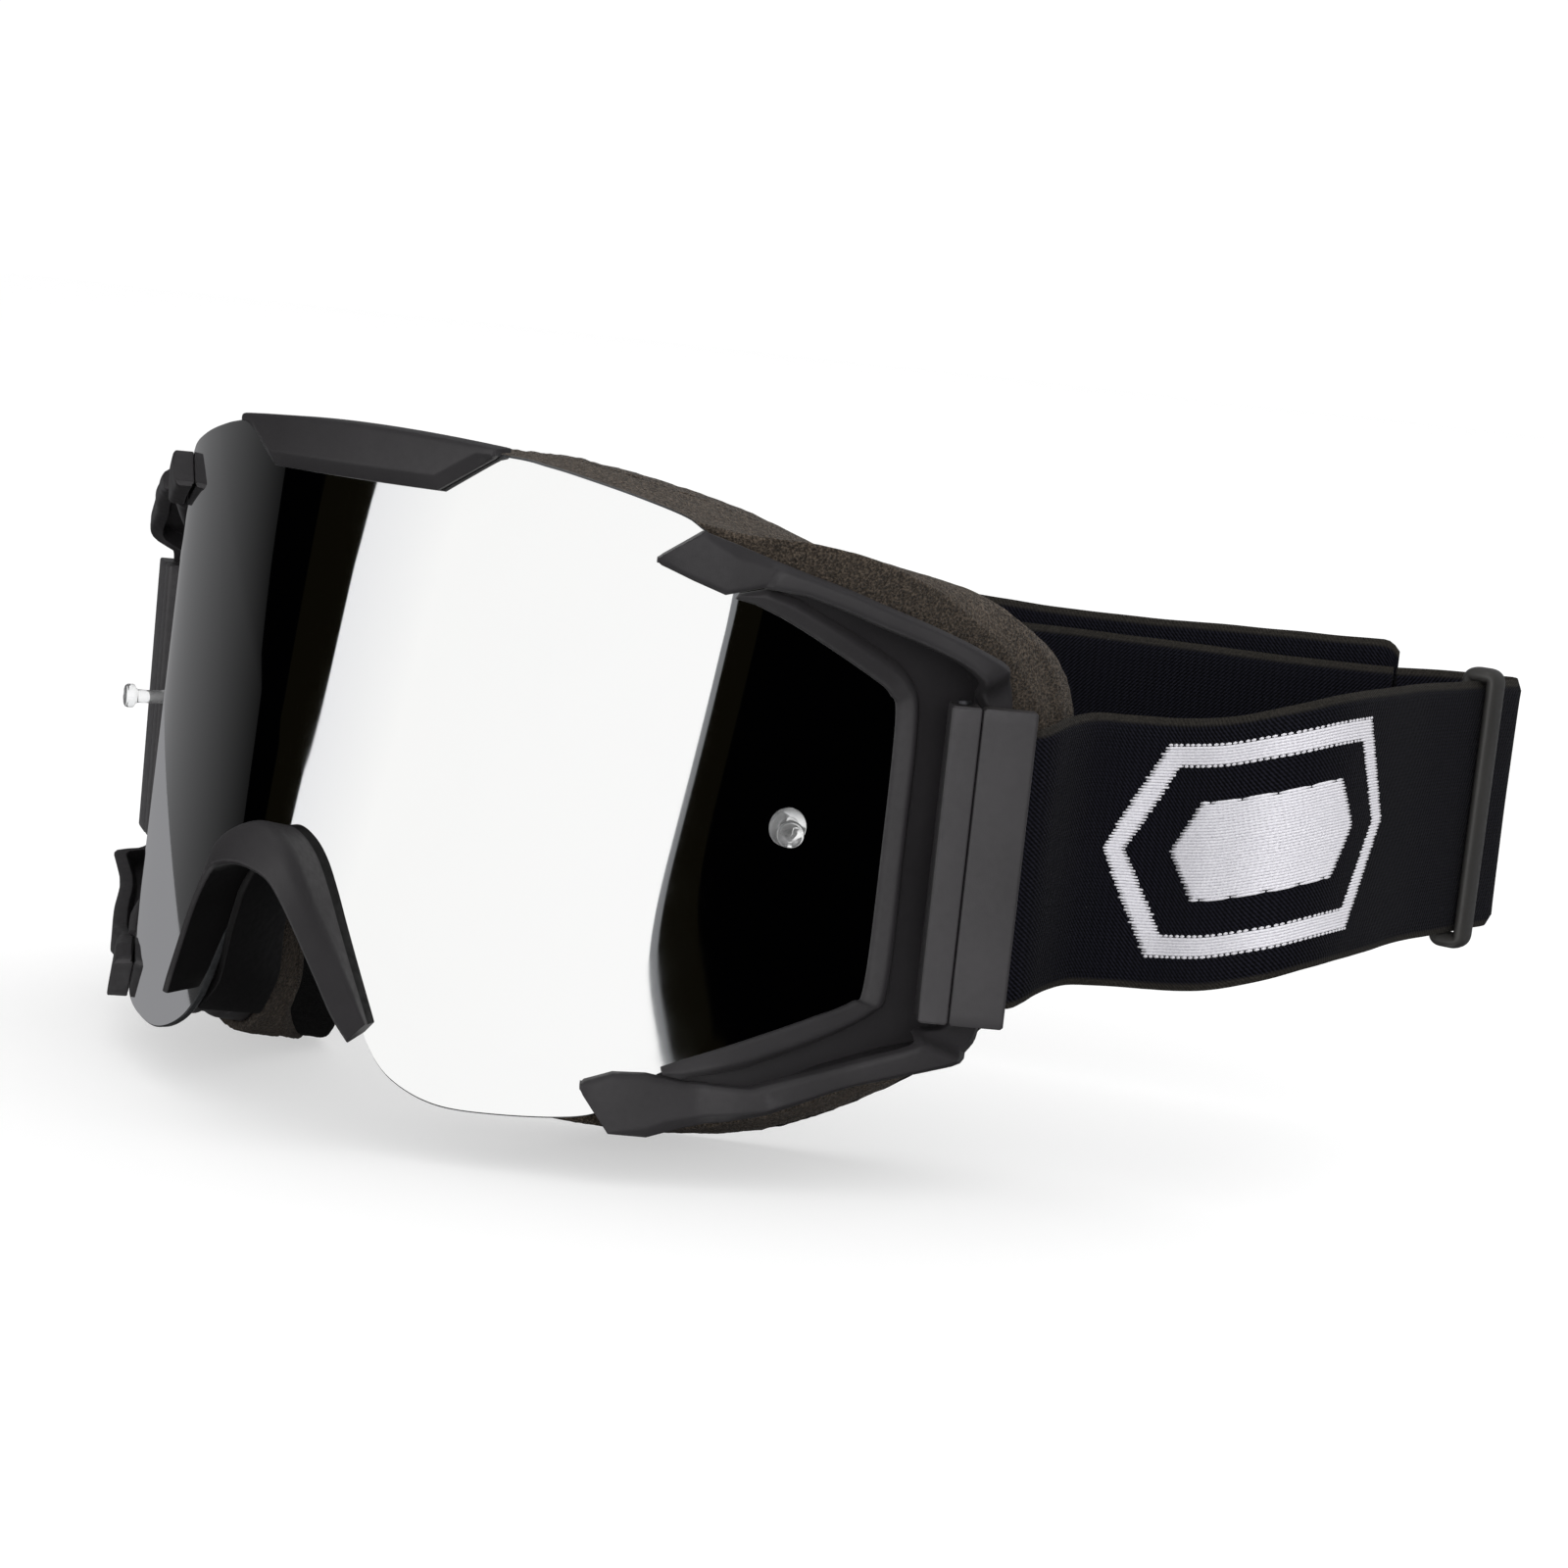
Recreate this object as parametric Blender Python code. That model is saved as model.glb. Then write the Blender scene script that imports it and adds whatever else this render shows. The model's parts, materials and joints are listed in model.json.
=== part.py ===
"""Motorcycle goggles with a wrap-round mirror lens, hinged strap clips and an elastic head strap.

Modelled in metres with +Z up. The wearer looks along -Y, so +X is the wearer's left.
Shapes are laid out in millimetres about the lens centre line, with z = 0 at the
tear-off posts, and then carried by one empty so that the origin is the bottom centre
of the whole object's box.
"""
from math import cos, hypot, pi, radians, sin, tan

import bmesh
import bpy
from mathutils import Vector

MM = 0.001                  # all lengths below are millimetres

# The lens surface: an arc of LENS_RADIUS in plan that runs straight back past WRAP_START.
LENS_RADIUS = 77.6
WRAP_START = 90.0           # distance round the lens, from the centre line, where the arc ends
LENS_FRONT = -60.0          # y of the lens at the centre line, at post height
LEAN_SIDE = 3.1             # lean of the lens, in degrees, where the arc faces 45 degrees out
LEAN_MORE = 9.0             # how much more it leans at the front than at the side
LENS_THICK = 1.5
GAP = 0.3                   # clearance between touching pieces

STRAP_WIDTH = 45.0
STRAP_THICK = 1.8
POST_S = 79.5               # distance round the lens of the tear-off posts
POST_Z = -0.9
POST_HOLE = 1.7
POST_WAY = 36.0             # degrees from straight ahead that the posts' stems point outward

CLIP_FRONT = (85.0, -7.6)   # plan line of the left strap clip's face
CLIP_REAR = (96.2, 1.2)
CLIP_LOW = -30.2            # lower and upper ends of the strap clips
CLIP_HIGH = 20.5
BAR_LENGTH = 4.7            # of the hinge bar, along the clip's face
CLIP_LENGTH = 13.7
BAR_DEEP = 6.9
PLATE_DEEP = 3.8
PIN_ALONG = 2.35            # hinge pin's place along and below the clip's face
PIN_DOWN = 5.0
PIN_RADIUS = 1.1

FRAME_SHARE = 0.45          # how the depth between lens and face is shared out
GUARD_SHARE = 0.42
BASE_SHARE = 0.72
MID_SHARE = 0.88

LENS_TOP = [(0, 52), (26, 52), (34, 50.8), (41, 49.2), (49, 47), (60, 43.4), (70, 38), (80, 32),
            (92, 26.8), (98.5, 21.5)]
LENS_BOTTOM = [(0, -12.6), (3.3, -13.4), (5.8, -15.6), (8.3, -19.4), (10.6, -24), (13.9, -30.4),
               (16.2, -36), (18.5, -41.2), (23, -45.9), (30.5, -48.9), (40, -49.3), (53, -48.4),
               (58, -46), (64, -41), (76, -36.2), (92, -30.9), (98.5, -28.2)]

# The ring between lens and face. Each station has the front outer and inner corners as
# (distance round, height) on the lens surface, then the rear outer and inner corners (x, y, z).
RING = [
    ((0, 49.4), (0, 43), (0, -28, 50), (0, -26, 38)),
    ((14, 49.6), (13, 43.3), (13, -26, 50), (12, -24, 38.3)),
    ((27, 49.3), (26, 43), (26, -20, 49.5), (24, -18, 38)),
    ((45, 45.2), (43, 39.2), (44, -6, 44.5), (40, -5, 34)),
    ((60, 41.2), (57, 35.8), (60, 7.5, 34.5), (54, 6, 25.5)),
    ((80, 36.5), (74, 31), (73.5, 19, 28.5), (65, 17, 20)),
    ((99, 30.5), (88, 25.5), (81, 27, 20.5), (71, 25, 13)),
    ((112, 22.5), (92, 18.5), (83, 31, 10), (72.5, 29, 6)),
    ((116, -4), (93, -4), (84, 33, -5), (73, 31, -5)),
    ((114, -32), (92, -26), (82, 30, -25), (72, 28, -18)),
    ((99, -38.5), (88, -31), (76.5, 23, -38), (68, 21, -28)),
    ((80, -44.5), (74, -36.5), (66, 12, -48), (59, 11, -37)),
    ((62, -47.5), (58, -40), (55, 3, -54.5), (50, 3, -42)),
    ((44, -47.5), (44, -40), (43, -5, -57), (41, -4, -44)),
    ((29, -45.5), (32, -38.5), (33, -11, -56), (36, -8, -44)),
    ((18.8, -38.5), (26, -32), (27, -15, -46), (33, -11, -38)),
    ((13, -26.5), (20, -19.5), (22, -19, -31), (28, -15, -25)),
    ((7.4, -16.2), (11, -7.5), (13, -23, -20), (17, -20, -11)),
    ((0, -12.9), (0, -4), (0, -25, -16.5), (0, -22, -5)),
]

# Outrigger: outer and inner edges of the C-shaped band, from upper prong to lower prong.
OUTRIGGER = [
    ((53.0, 39.4), (53.0, 38.5)), ((59.6, 44.0), (59.0, 36.3)), ((65.8, 42.3), (64.2, 34.6)),
    ((71.7, 40.5), (70.0, 36.2)), ((77.5, 38.8), (76.5, 35.6)), ((83.2, 37.2), (82.5, 33.8)),
    ((89.3, 35.1), (88.5, 31.7)), ((96.5, 32.7), (96.0, 29.2)), ((104.5, 29.6), (102.5, 26.3)),
    ((112.8, 25.4), (107.0, 22.4)), ((115.0, 18.0), (110.6, 16.0)), ((116.0, -4.0), (110.8, -4.0)),
    ((116.2, -23.0), (110.6, -23.0)), ((116.0, -30.0), (109.0, -31.0)), ((114.5, -35.5), (103.5, -32.3)),
    ((104.6, -37.9), (98.5, -34.2)), ((97.2, -39.7), (93.0, -36.0)), ((90.3, -41.6), (87.5, -38.0)),
    ((84.9, -44.0), (82.0, -39.8)), ((79.9, -46.2), (77.0, -41.6)), ((68.3, -48.8), (67.5, -41.5)),
    ((63.0, -50.4), (62.0, -40.5)), ((57.3, -49.9), (57.0, -40.6)), ((52.4, -43.3), (52.4, -42.3)),
]
# Height of the outrigger's face above the lens surface, by distance round: it stands off like a scoop.
OUTRIGGER_RISE = [(0, 3.6), (66, 3.6), (72, 5.5), (80, 8.0), (86, 9.7), (92, 10.6), (101, 10.8),
                  (106, 10.2), (110, 8.5), (120, 8.5)]
# Lens rim: outer and inner edges of the band that holds the side of the lens.
RIM = [
    ((68.0, 34.0), (67.4, 33.2)), ((74.0, 34.6), (73.0, 31.8)), ((80.8, 32.6), (79.9, 28.8)),
    ((92.0, 27.6), (91.5, 23.3)), ((98.0, 23.2), (95.6, 20.6)), ((100.8, 17.0), (97.0, 16.5)),
    ((101.0, -4.0), (97.0, -4.0)), ((100.8, -26.5), (96.8, -25.5)), ((98.0, -30.4), (94.8, -28.6)),
    ((90.0, -34.0), (88.0, -30.9)), ((76.5, -38.0), (79.0, -33.4)), ((67.5, -40.4), (67.0, -37.4)),
    ((64.0, -40.1), (63.6, -38.9)),
]
# Nose arch: outer and inner edges of its left half, as (distance round, height).
# The nose arch: where its outer edge meets the lens, its tip and how far that stands off, and its root.
ARCH = [
    ((0, -9.6), (0, -15.3, 14.0), (0, -12.8)), ((3.6, -11.0), (2.9, -15.8, 13.9), (3.3, -13.6)),
    ((6.6, -13.9), (5.2, -17.1, 13.5), (5.8, -15.8)), ((9.3, -18.2), (7.4, -20.3, 12.7), (8.4, -19.5)),
    ((12.0, -23.3), (9.6, -24.3, 11.7), (10.7, -24.1)), ((15.6, -30.2), (12.9, -30.9, 10.0), (13.9, -30.6)),
    ((18.3, -35.4), (15.7, -36.4, 8.7), (16.2, -36.1)), ((19.4, -37.6), (18.2, -40.2, 7.4), (18.0, -39.4)),
]

# Strap routes: plan points (x, y) with the height of the middle of the webbing.
LEFT_ROUTE = [
    (94.1, 16.6, -4.6), (94.6, 22, -4.5), (97.5, 28, -4.2), (104, 31.5, -3.2), (114, 31, -0.8),
    (123, 33, 2.4), (127.3, 43, 4.6), (127, 60, 5.0), (124.8, 80, 4.8), (124.6, 97, 4.6), (124.6, 112, 4.4),
    (124.4, 117, 4.3), (122.3, 119.6, 4.3), (119.3, 118.6, 4.2), (112, 114.5, 4.1),
    (105, 110.5, 3.8),
]
RIGHT_ROUTE = [
    (104.5, 110.2, 3.8), (85, 103.5, 3.0), (60, 95.5, 2.2), (20, 80.5, 0.6), (-20, 63.5, -1.4),
    (-55, 50, -3.2), (-77, 44, -4.4), (-88.5, 38, -4.6), (-93.4, 30, -4.6), (-94.6, 22, -4.6),
    (-94.1, 16.6, -4.6),
]
TAIL_ROUTE = [
    (103.5, 114.6, 8.3), (97, 112.0, 8.1), (75, 104.2, 7.4), (52, 96.9, 6.6), (28, 88.0, 7.2),
    (5, 78.6, 10.0), (-15, 70.0, 12.5),
]
SLIDER_PLACE = (124.6, 104.0, 4.3)      # centre of the adjuster on the left run of the strap
SLIDER_HALF = 25.0


def clear_scene():
    """Remove every object of the start-up scene."""
    for item in list(bpy.data.objects):
        bpy.data.objects.remove(item, do_unlink=True)


def finish(name, colour, roughness, metallic=0.0):
    """One Principled material."""
    made = bpy.data.materials.new(name)
    made.use_nodes = True
    shader = made.node_tree.nodes["Principled BSDF"]
    shader.inputs["Base Color"].default_value = (*colour, 1.0)
    shader.inputs["Roughness"].default_value = roughness
    shader.inputs["Metallic"].default_value = metallic
    return made


def lens_point(s, z, off=0.0):
    """The point a distance s round the lens at height z, raised off along the outward normal."""
    side = 1.0 if s >= 0 else -1.0
    arc = min(abs(s), WRAP_START)
    angle = arc / LENS_RADIUS
    past = abs(s) - arc
    lean = radians(LEAN_SIDE + LEAN_MORE * (cos(angle) - 0.7))
    x = LENS_RADIUS * sin(angle) + past * cos(angle) + off * sin(angle)
    y = LENS_FRONT + LENS_RADIUS * (1 - cos(angle)) + past * sin(angle) - off * cos(angle)
    y += z * tan(lean)
    return Vector((side * x, y, z))


def side_normal(s):
    """The outward normal of the lens in plan, a distance s round it."""
    angle = min(abs(s), WRAP_START) / LENS_RADIUS
    return Vector(((1.0 if s >= 0 else -1.0) * sin(angle), -cos(angle), 0.0))


def height_at(outline, s):
    """Height of an outline, given as (distance, height) points, at a distance from the centre line."""
    s = abs(s)
    for (s0, z0), (s1, z1) in zip(outline, outline[1:]):
        if s <= s1:
            return z0 + (z1 - z0) * (s - s0) / (s1 - s0)
    return outline[-1][1]


def curve_through(points, steps, closed=False):
    """Catmull-Rom curve through points of any dimension, with a number of steps in each span."""
    count = len(points)
    spans = count if closed else count - 1
    out = []
    for i in range(spans):
        def at(k):
            return points[k % count] if closed else points[max(0, min(count - 1, k))]
        p0, p1, p2, p3 = at(i - 1), at(i), at(i + 1), at(i + 2)
        for j in range(steps):
            t = j / steps
            out.append(tuple(
                b + 0.5 * t * ((c - a) + t * (2 * a - 5 * b + 4 * c - d + t * (3 * b - a - 3 * c + d)))
                for a, b, c, d in zip(p0, p1, p2, p3)))
    if not closed:
        out.append(tuple(points[-1]))
    return out


def straight_steps(points, longest):
    """The same polyline with no span longer than a limit, measured on the first two values."""
    out = []
    for p, q in zip(points, points[1:]):
        parts = max(1, int(hypot(q[0] - p[0], q[1] - p[1]) / longest + 0.999))
        out += [tuple(a + (b - a) * j / parts for a, b in zip(p, q)) for j in range(parts)]
    return out + [tuple(points[-1])]


def solid(name, rings, material, cyclic=False, origin=(0, 0, 0)):
    """A closed body lofted through rings of points, with its ends capped unless it is cyclic."""
    bm = bmesh.new()
    base = Vector(origin)
    rows = [[bm.verts.new((Vector(p) - base) * MM) for p in ring] for ring in rings]
    pairs = list(zip(rows, rows[1:]))
    if cyclic:
        pairs.append((rows[-1], rows[0]))
    for low, high in pairs:
        for i in range(len(low)):
            j = (i + 1) % len(low)
            bm.faces.new((low[i], low[j], high[j], high[i]))
    if not cyclic:
        bm.faces.new(rows[0][::-1])
        bm.faces.new(rows[-1])
    bmesh.ops.triangulate(bm, faces=bm.faces[:])
    bmesh.ops.recalc_face_normals(bm, faces=bm.faces[:])
    mesh = bpy.data.meshes.new(name)
    bm.to_mesh(mesh)
    bm.free()
    mesh.shade_smooth()
    mesh.set_sharp_from_angle(angle=radians(32))
    mesh.materials.append(material)
    made = bpy.data.objects.new(name, mesh)
    bpy.context.collection.objects.link(made)
    made.location = base * MM
    return made


def turned(name, profile, centre, axis, material, sides=20):
    """A body turned about an axis from (radius, height) points; the profile is a closed loop."""
    axis = Vector(axis).normalized()
    across = axis.orthogonal().normalized()
    third = axis.cross(across)
    rings = []
    for k in range(sides):
        turn = 2 * pi * k / sides
        way = across * cos(turn) + third * sin(turn)
        rings.append([Vector(centre) + way * max(r, 0.02) + axis * h for r, h in profile])
    return solid(name, rings, material, cyclic=True)


def cylinder_cutter(name, centre, axis, radius, length):
    """A guide cylinder that is only used to cut a hole."""
    bm = bmesh.new()
    bmesh.ops.create_cone(bm, cap_ends=True, segments=20, radius1=radius * MM, radius2=radius * MM,
                          depth=length * MM)
    mesh = bpy.data.meshes.new(name)
    bm.to_mesh(mesh)
    bm.free()
    made = bpy.data.objects.new(name, mesh)
    bpy.context.collection.objects.link(made)
    made.location = Vector(centre) * MM
    made.rotation_mode = "QUATERNION"
    made.rotation_quaternion = Vector(axis).to_track_quat("Z", "Y")
    made.hide_render = True
    made.display_type = "WIRE"
    return made


def cut(target, cutter):
    """Cut the cutter's shape out of the target."""
    hole = target.modifiers.new(cutter.name, "BOOLEAN")
    hole.operation = "DIFFERENCE"
    hole.object = cutter


def lens_rim(side, label, material):
    """The raised band that holds the side of the lens."""
    low, high, bevel = GAP, 3.0, 0.8
    rings = []
    for so, zo, si, zi in straight_steps([(*a, *b) for a, b in RIM], 4.5):
        ring = []
        section = ((0, low), (0, high - bevel), (0.14, high), (0.86, high), (1, high - bevel), (1, low))
        for share, off in section:
            ring.append(lens_point(side * (si + (so - si) * share), zi + (zo - zi) * share, off))
        rings.append(ring)
    return solid("lens_rim_" + label, rings, material)


def outrigger(side, label, material):
    """The C-shaped band with two prongs: a thick face, and a skirt down to the frame at its outer edge."""
    face, bevel, wall = 3.2, 0.8, 2.0
    rings = []
    for so, zo, si, zi in straight_steps([(*a, *b) for a, b in OUTRIGGER], 4.5):
        high = height_at(OUTRIGGER_RISE, so)
        foot = GAP if so < 70 else -LENS_THICK + 0.1
        inner = 1 - min(0.5, wall / hypot(so - si, zo - zi))
        section = ((0, high - face), (0, high - bevel), (0.14, high), (0.86, high), (1, high - bevel),
                   (1, foot), (inner, foot), (inner, high - face))
        ring = []
        for share, off in section:
            ring.append(lens_point(side * (si + (so - si) * share), zi + (zo - zi) * share, off))
        rings.append(ring)
    return solid("outrigger_" + label, rings, material)


def ring_stations():
    """The whole ring round the face opening as smooth stations of twelve numbers."""
    half = []
    for (so, zo), (si, zi), rear_out, rear_in in RING:
        half.append((so, zo, si, zi, *rear_out, *rear_in))
    flip = (-1, 1, -1, 1, -1, 1, 1, -1, 1, 1)
    other = [tuple(a * b for a, b in zip(p, flip)) for p in half[1:-1]]
    return curve_through(half + other[::-1], 2, closed=True)


def ring_corner(station, share, inner):
    """A corner of the ring's section, a share of the way from the lens to the face."""
    s, z = station[2:4] if inner else station[0:2]
    front = lens_point(s, z, -LENS_THICK - GAP)
    rear = Vector(station[7:10] if inner else station[4:7])
    return front.lerp(rear, share)


def ring_layer(name, start, end, material, outset=0.0, crown=0.0):
    """One layer of the ring: the shell, or foam that stands proud of it, and by more over the brow."""
    rings = []
    for station in ring_stations():
        proud = outset + crown * max(0.0, min(1.0, station[1] / 40))
        depth = (ring_corner(station, 1, False) - ring_corner(station, 0, False)).length
        lead = start + (GAP / depth if start > 0 else 0)
        corners = []
        for share, inner in ((lead, False), (end, False), (end, True), (lead, True)):
            here = ring_corner(station, share, inner)
            there = ring_corner(station, share, not inner)
            away = (here - there).normalized()
            corners.append(here + away * (0 if inner else proud))
        rings.append(corners)
    return solid(name, rings, material, cyclic=True)


def lens(material):
    """The cylindrical lens with its nose notch and a hole for each tear-off post."""
    edge = LENS_TOP[-1][0]
    columns = 66
    rows = 6
    rings = []
    for i in range(columns + 1):
        s = edge * (2 * i / columns - 1)
        low, high = height_at(LENS_BOTTOM, s), height_at(LENS_TOP, s)
        front = [lens_point(s, low + (high - low) * j / rows, 0) for j in range(rows + 1)]
        back = [lens_point(s, low + (high - low) * j / rows, -LENS_THICK) for j in range(rows, -1, -1)]
        rings.append(front + back)
    made = solid("lens", rings, material)
    for side in (1, -1):
        centre = lens_point(side * POST_S, POST_Z)
        name = "post_hole_guide_left" if side > 0 else "post_hole_guide_right"
        cutter = cylinder_cutter(name, centre, side_normal(side * POST_S), POST_HOLE, 8)
        cut(made, cutter)


def brow_cover(material):
    """The cover over the top middle of the lens, with a lip that reaches back over its edge."""
    half_width = 26.0
    lower_half, lower_z = 16.7, 45.5
    slope = 0.68
    lens_top = LENS_TOP[0][1] + GAP
    rings = []
    for s, _ in straight_steps([(-half_width, 0), (-lower_half, 0), (lower_half, 0), (half_width, 0)], 4.5):
        top = 54.1 - 1.1 * (s / half_width) ** 2
        low = lower_z + slope * max(0.0, abs(s) - lower_half)
        near = min(low + 2.4, top - 1.2)
        points = [(low, GAP), (low, 1.7), (near, 3.3), (top - 0.7, 3.3), (top, 2.6), (top, -4.2),
                  (lens_top, -4.2), (lens_top, GAP)]
        rings.append([lens_point(s, z, off) for z, off in points])
    return solid("brow_cover", rings, material)


def nose_arch(material):
    """The arch over the nose notch: a face that slopes forward from the lens to a tip, and a back wall."""
    half = [(*outer, *tip, *root) for outer, tip, root in ARCH]
    other = [(-a, b, -c, d, e, -f, g) for a, b, c, d, e, f, g in half[1:]]
    rings = []
    for so, zo, st, zt, off, sr, zr in curve_through(other[::-1] + half, 2):
        outer, tip, root = (lens_point(so, zo, 3.0), lens_point(st, zt, off), lens_point(sr, zr, GAP))
        lip = lens_point(st, zt, off - 0.9) + (outer - tip).normalized() * 0.9
        rings.append([lens_point(so, zo, GAP), outer, lip + (outer - tip).normalized() * 0.5, tip, root])
    return solid("nose_arch", rings, material)


def nose_guard(material):
    """The thin insert that lines the nose notch of the frame, from the lens back to the foam."""
    stations = ring_stations()
    count = len(stations)
    middle = 2 * (len(RING) - 1)
    reach = 7
    below_notch = Vector((0, 0, -60))
    rings = []
    for k in range(middle - reach, middle + reach + 1):
        ring = []
        for share, height in ((0.02, GAP), (GUARD_SHARE, GAP), (GUARD_SHARE, GAP + 1.4), (0.02, GAP + 1.4)):
            here = ring_corner(stations[k % count], share, False)
            ahead = ring_corner(stations[(k + 1) % count], share, False)
            behind = ring_corner(stations[(k - 1) % count], share, False)
            along = ahead - behind
            away = Vector((along.z, 0, -along.x)).normalized()
            away = away if away.dot(below_notch - here) > 0 else -away
            ring.append(here + away * height)
        rings.append(ring)
    return solid("nose_guard", rings, material)


def tear_off_post(side, label, clear, rubber):
    """A clear post through the lens: a flange on the lens, a stem that points forward and a head.

    Its retainer sits behind the lens.
    """
    foot = lens_point(side * POST_S, POST_Z)
    normal = side_normal(side * POST_S)
    way = Vector((side * sin(radians(POST_WAY)), -cos(radians(POST_WAY)), 0))
    neck = foot + normal * 1.5
    stack = [(foot, normal, -3.9, 1.3), (foot, normal, GAP, 1.3), (foot, normal, GAP, 3.1),
             (foot, normal, 1.1, 3.1), (foot, normal, 1.5, 1.5), (neck, way, 0.9, 1.2),
             (neck, way, 5.2, 1.2), (neck, way, 5.6, 2.0), (neck, way, 6.8, 2.1), (neck, way, 7.4, 1.6)]
    rings = []
    for centre, axis, along, radius in stack:
        across = Vector((0, 0, 1)).cross(axis)
        rings.append([centre + axis * along + (across * cos(turn) + Vector((0, 0, sin(turn)))) * radius
                      for turn in (2 * pi * k / 20 for k in range(20))])
    solid("tear_off_post_" + label, rings, clear)
    keeper = [(1.6, -3.5), (3.3, -3.5), (3.3, -LENS_THICK - GAP), (1.6, -LENS_THICK - GAP)]
    turned("post_keeper_" + label, keeper, foot, normal, rubber)


def clip_point(side, along, down, z=0.0):
    """A point of a strap clip: a distance along its face from the front, and a depth below the face."""
    way = (Vector(CLIP_REAR) - Vector(CLIP_FRONT)).normalized()
    x = CLIP_FRONT[0] + along * way.x - down * way.y
    y = CLIP_FRONT[1] + along * way.y + down * way.x
    return Vector((side * x, y, z))


def strap_clip(side, label, plate, metal):
    """The hinged strap clip: its hinge bar, its channel-shaped plate and the pin that they turn on."""
    axis_point = clip_point(side, PIN_ALONG, PIN_DOWN)
    bar_section = [(0, BAR_DEEP), (BAR_LENGTH, BAR_DEEP), (BAR_LENGTH, 0), (0.5, 0), (0, 0.5)]
    bar = solid("clip_bar_" + label, [
        [clip_point(side, along, down, z) for along, down in bar_section] for z in (CLIP_LOW, CLIP_HIGH)
    ], plate, origin=axis_point)
    middle = (axis_point.x, axis_point.y, 0.5 * (CLIP_LOW + CLIP_HIGH))
    bore = cylinder_cutter("clip_bore_guide_" + label, middle, (0, 0, 1), PIN_RADIUS + GAP, 60)
    cut(bar, bore)
    wall, roof, draft, chamfer = 2.3, 1.7, 0.3, 0.4
    near, far = BAR_LENGTH + GAP, CLIP_LENGTH
    low_wall, high_wall = CLIP_LOW + wall, CLIP_HIGH - wall
    heights = [CLIP_LOW, low_wall - draft, low_wall + draft]
    heights += [low_wall + (high_wall - low_wall) * k / 6 for k in range(1, 6)]
    heights += [high_wall - draft, high_wall + draft, CLIP_HIGH]
    rings = []
    for z in heights:
        deep = roof if low_wall < z < high_wall else PLATE_DEEP
        section = [(near, deep), (near, chamfer), (near + chamfer, 0), (far - chamfer, 0), (far, chamfer),
                   (far, deep)]
        rings.append([clip_point(side, along, down, z) for along, down in section])
    cover = solid("clip_plate_" + label, rings, plate, origin=axis_point)
    foot, head = CLIP_LOW - 0.8, CLIP_HIGH + 0.6
    pin_profile = [(0, foot), (PIN_RADIUS, foot), (PIN_RADIUS, head), (0, head)]
    turned("clip_pin_" + label, pin_profile, axis_point, (0, 0, 1), metal, sides=16)
    hinge = bpy.data.objects.new("clip_hinge_" + label, None)
    bpy.context.collection.objects.link(hinge)
    hinge.location = axis_point * MM
    return hinge, [bar, cover]


def webbing(name, route, material):
    """A strip of webbing that stands on edge along a smooth plan route."""
    half_width = STRAP_WIDTH / 2
    line = curve_through(route, 3)
    rings = []
    for k, (x, y, z) in enumerate(line):
        before, after = line[max(k - 1, 0)], line[min(k + 1, len(line) - 1)]
        along = Vector((after[0] - before[0], after[1] - before[1], 0)).normalized()
        away = Vector((along.y, -along.x, 0)) * (STRAP_THICK / 2)
        low, high = Vector((x, y, z - half_width)), Vector((x, y, z + half_width))
        rings.append([low - away, low + away, high + away, high - away])
    return solid(name, rings, material)


def strap_end(side, label, material):
    """The sewn end of the strap, which the clip's channel holds."""
    inside = clip_point(side, 6.5, 2.75)
    mouth = clip_point(side, CLIP_LENGTH, 2.75)
    points = [(inside.x, inside.y, -4.8), (mouth.x, mouth.y, -4.8), (side * 95.2, 6.5, -4.7),
              (side * 94.6, 11.5, -4.6), (side * 94.1, 16.2, -4.6)]
    return webbing("strap_end_" + label, points, material)


def slider(material):
    """The adjuster: a flat loop with rounded bars that grips the strap."""
    middle_x, middle_y, middle_z = SLIDER_PLACE
    half_inside = STRAP_WIDTH / 2 + 0.7
    half_slot = 1.4
    half_bar = 2.6
    front, back = 3.6, 3.0
    outer = [(-back, -SLIDER_HALF), (front, -SLIDER_HALF), (front, SLIDER_HALF), (-back, SLIDER_HALF)]
    inner = [(-half_slot, -half_inside), (half_slot, -half_inside), (half_slot, half_inside),
             (-half_slot, half_inside)]
    rings = []
    for (xo, zo), (xi, zi) in zip(outer, inner):
        ring = []
        for share, y in ((0, -half_bar), (0, half_bar), (1, half_bar), (1, -half_bar)):
            x, z = xi + (xo - xi) * share, zi + (zo - zi) * share
            ring.append((middle_x + x, middle_y + y, middle_z + z))
        rings.append(ring)
    return solid("strap_slider", rings, material, cyclic=True, origin=SLIDER_PLACE)


def hang_on(parent, items):
    """Parent items to a hinge and keep them where they are."""
    for item in items:
        item.location = item.location - parent.location
        item.parent = parent


def stand_on_origin():
    """Carry everything by one empty so that the bottom centre of the box is the origin."""
    bpy.context.view_layer.update()
    meshes = [item for item in bpy.data.objects if item.type == "MESH" and not item.hide_render]
    corners = [item.matrix_world @ v.co for item in meshes for v in item.data.vertices]
    low = Vector([min(c[i] for c in corners) for i in range(3)])
    high = Vector([max(c[i] for c in corners) for i in range(3)])
    carrier = bpy.data.objects.new("goggles", None)
    bpy.context.collection.objects.link(carrier)
    for item in list(bpy.data.objects):
        if item is not carrier and item.parent is None:
            item.parent = carrier
    carrier.location = (-(low.x + high.x) / 2, -(low.y + high.y) / 2, -low.z)
    bpy.context.view_layer.update()


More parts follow.
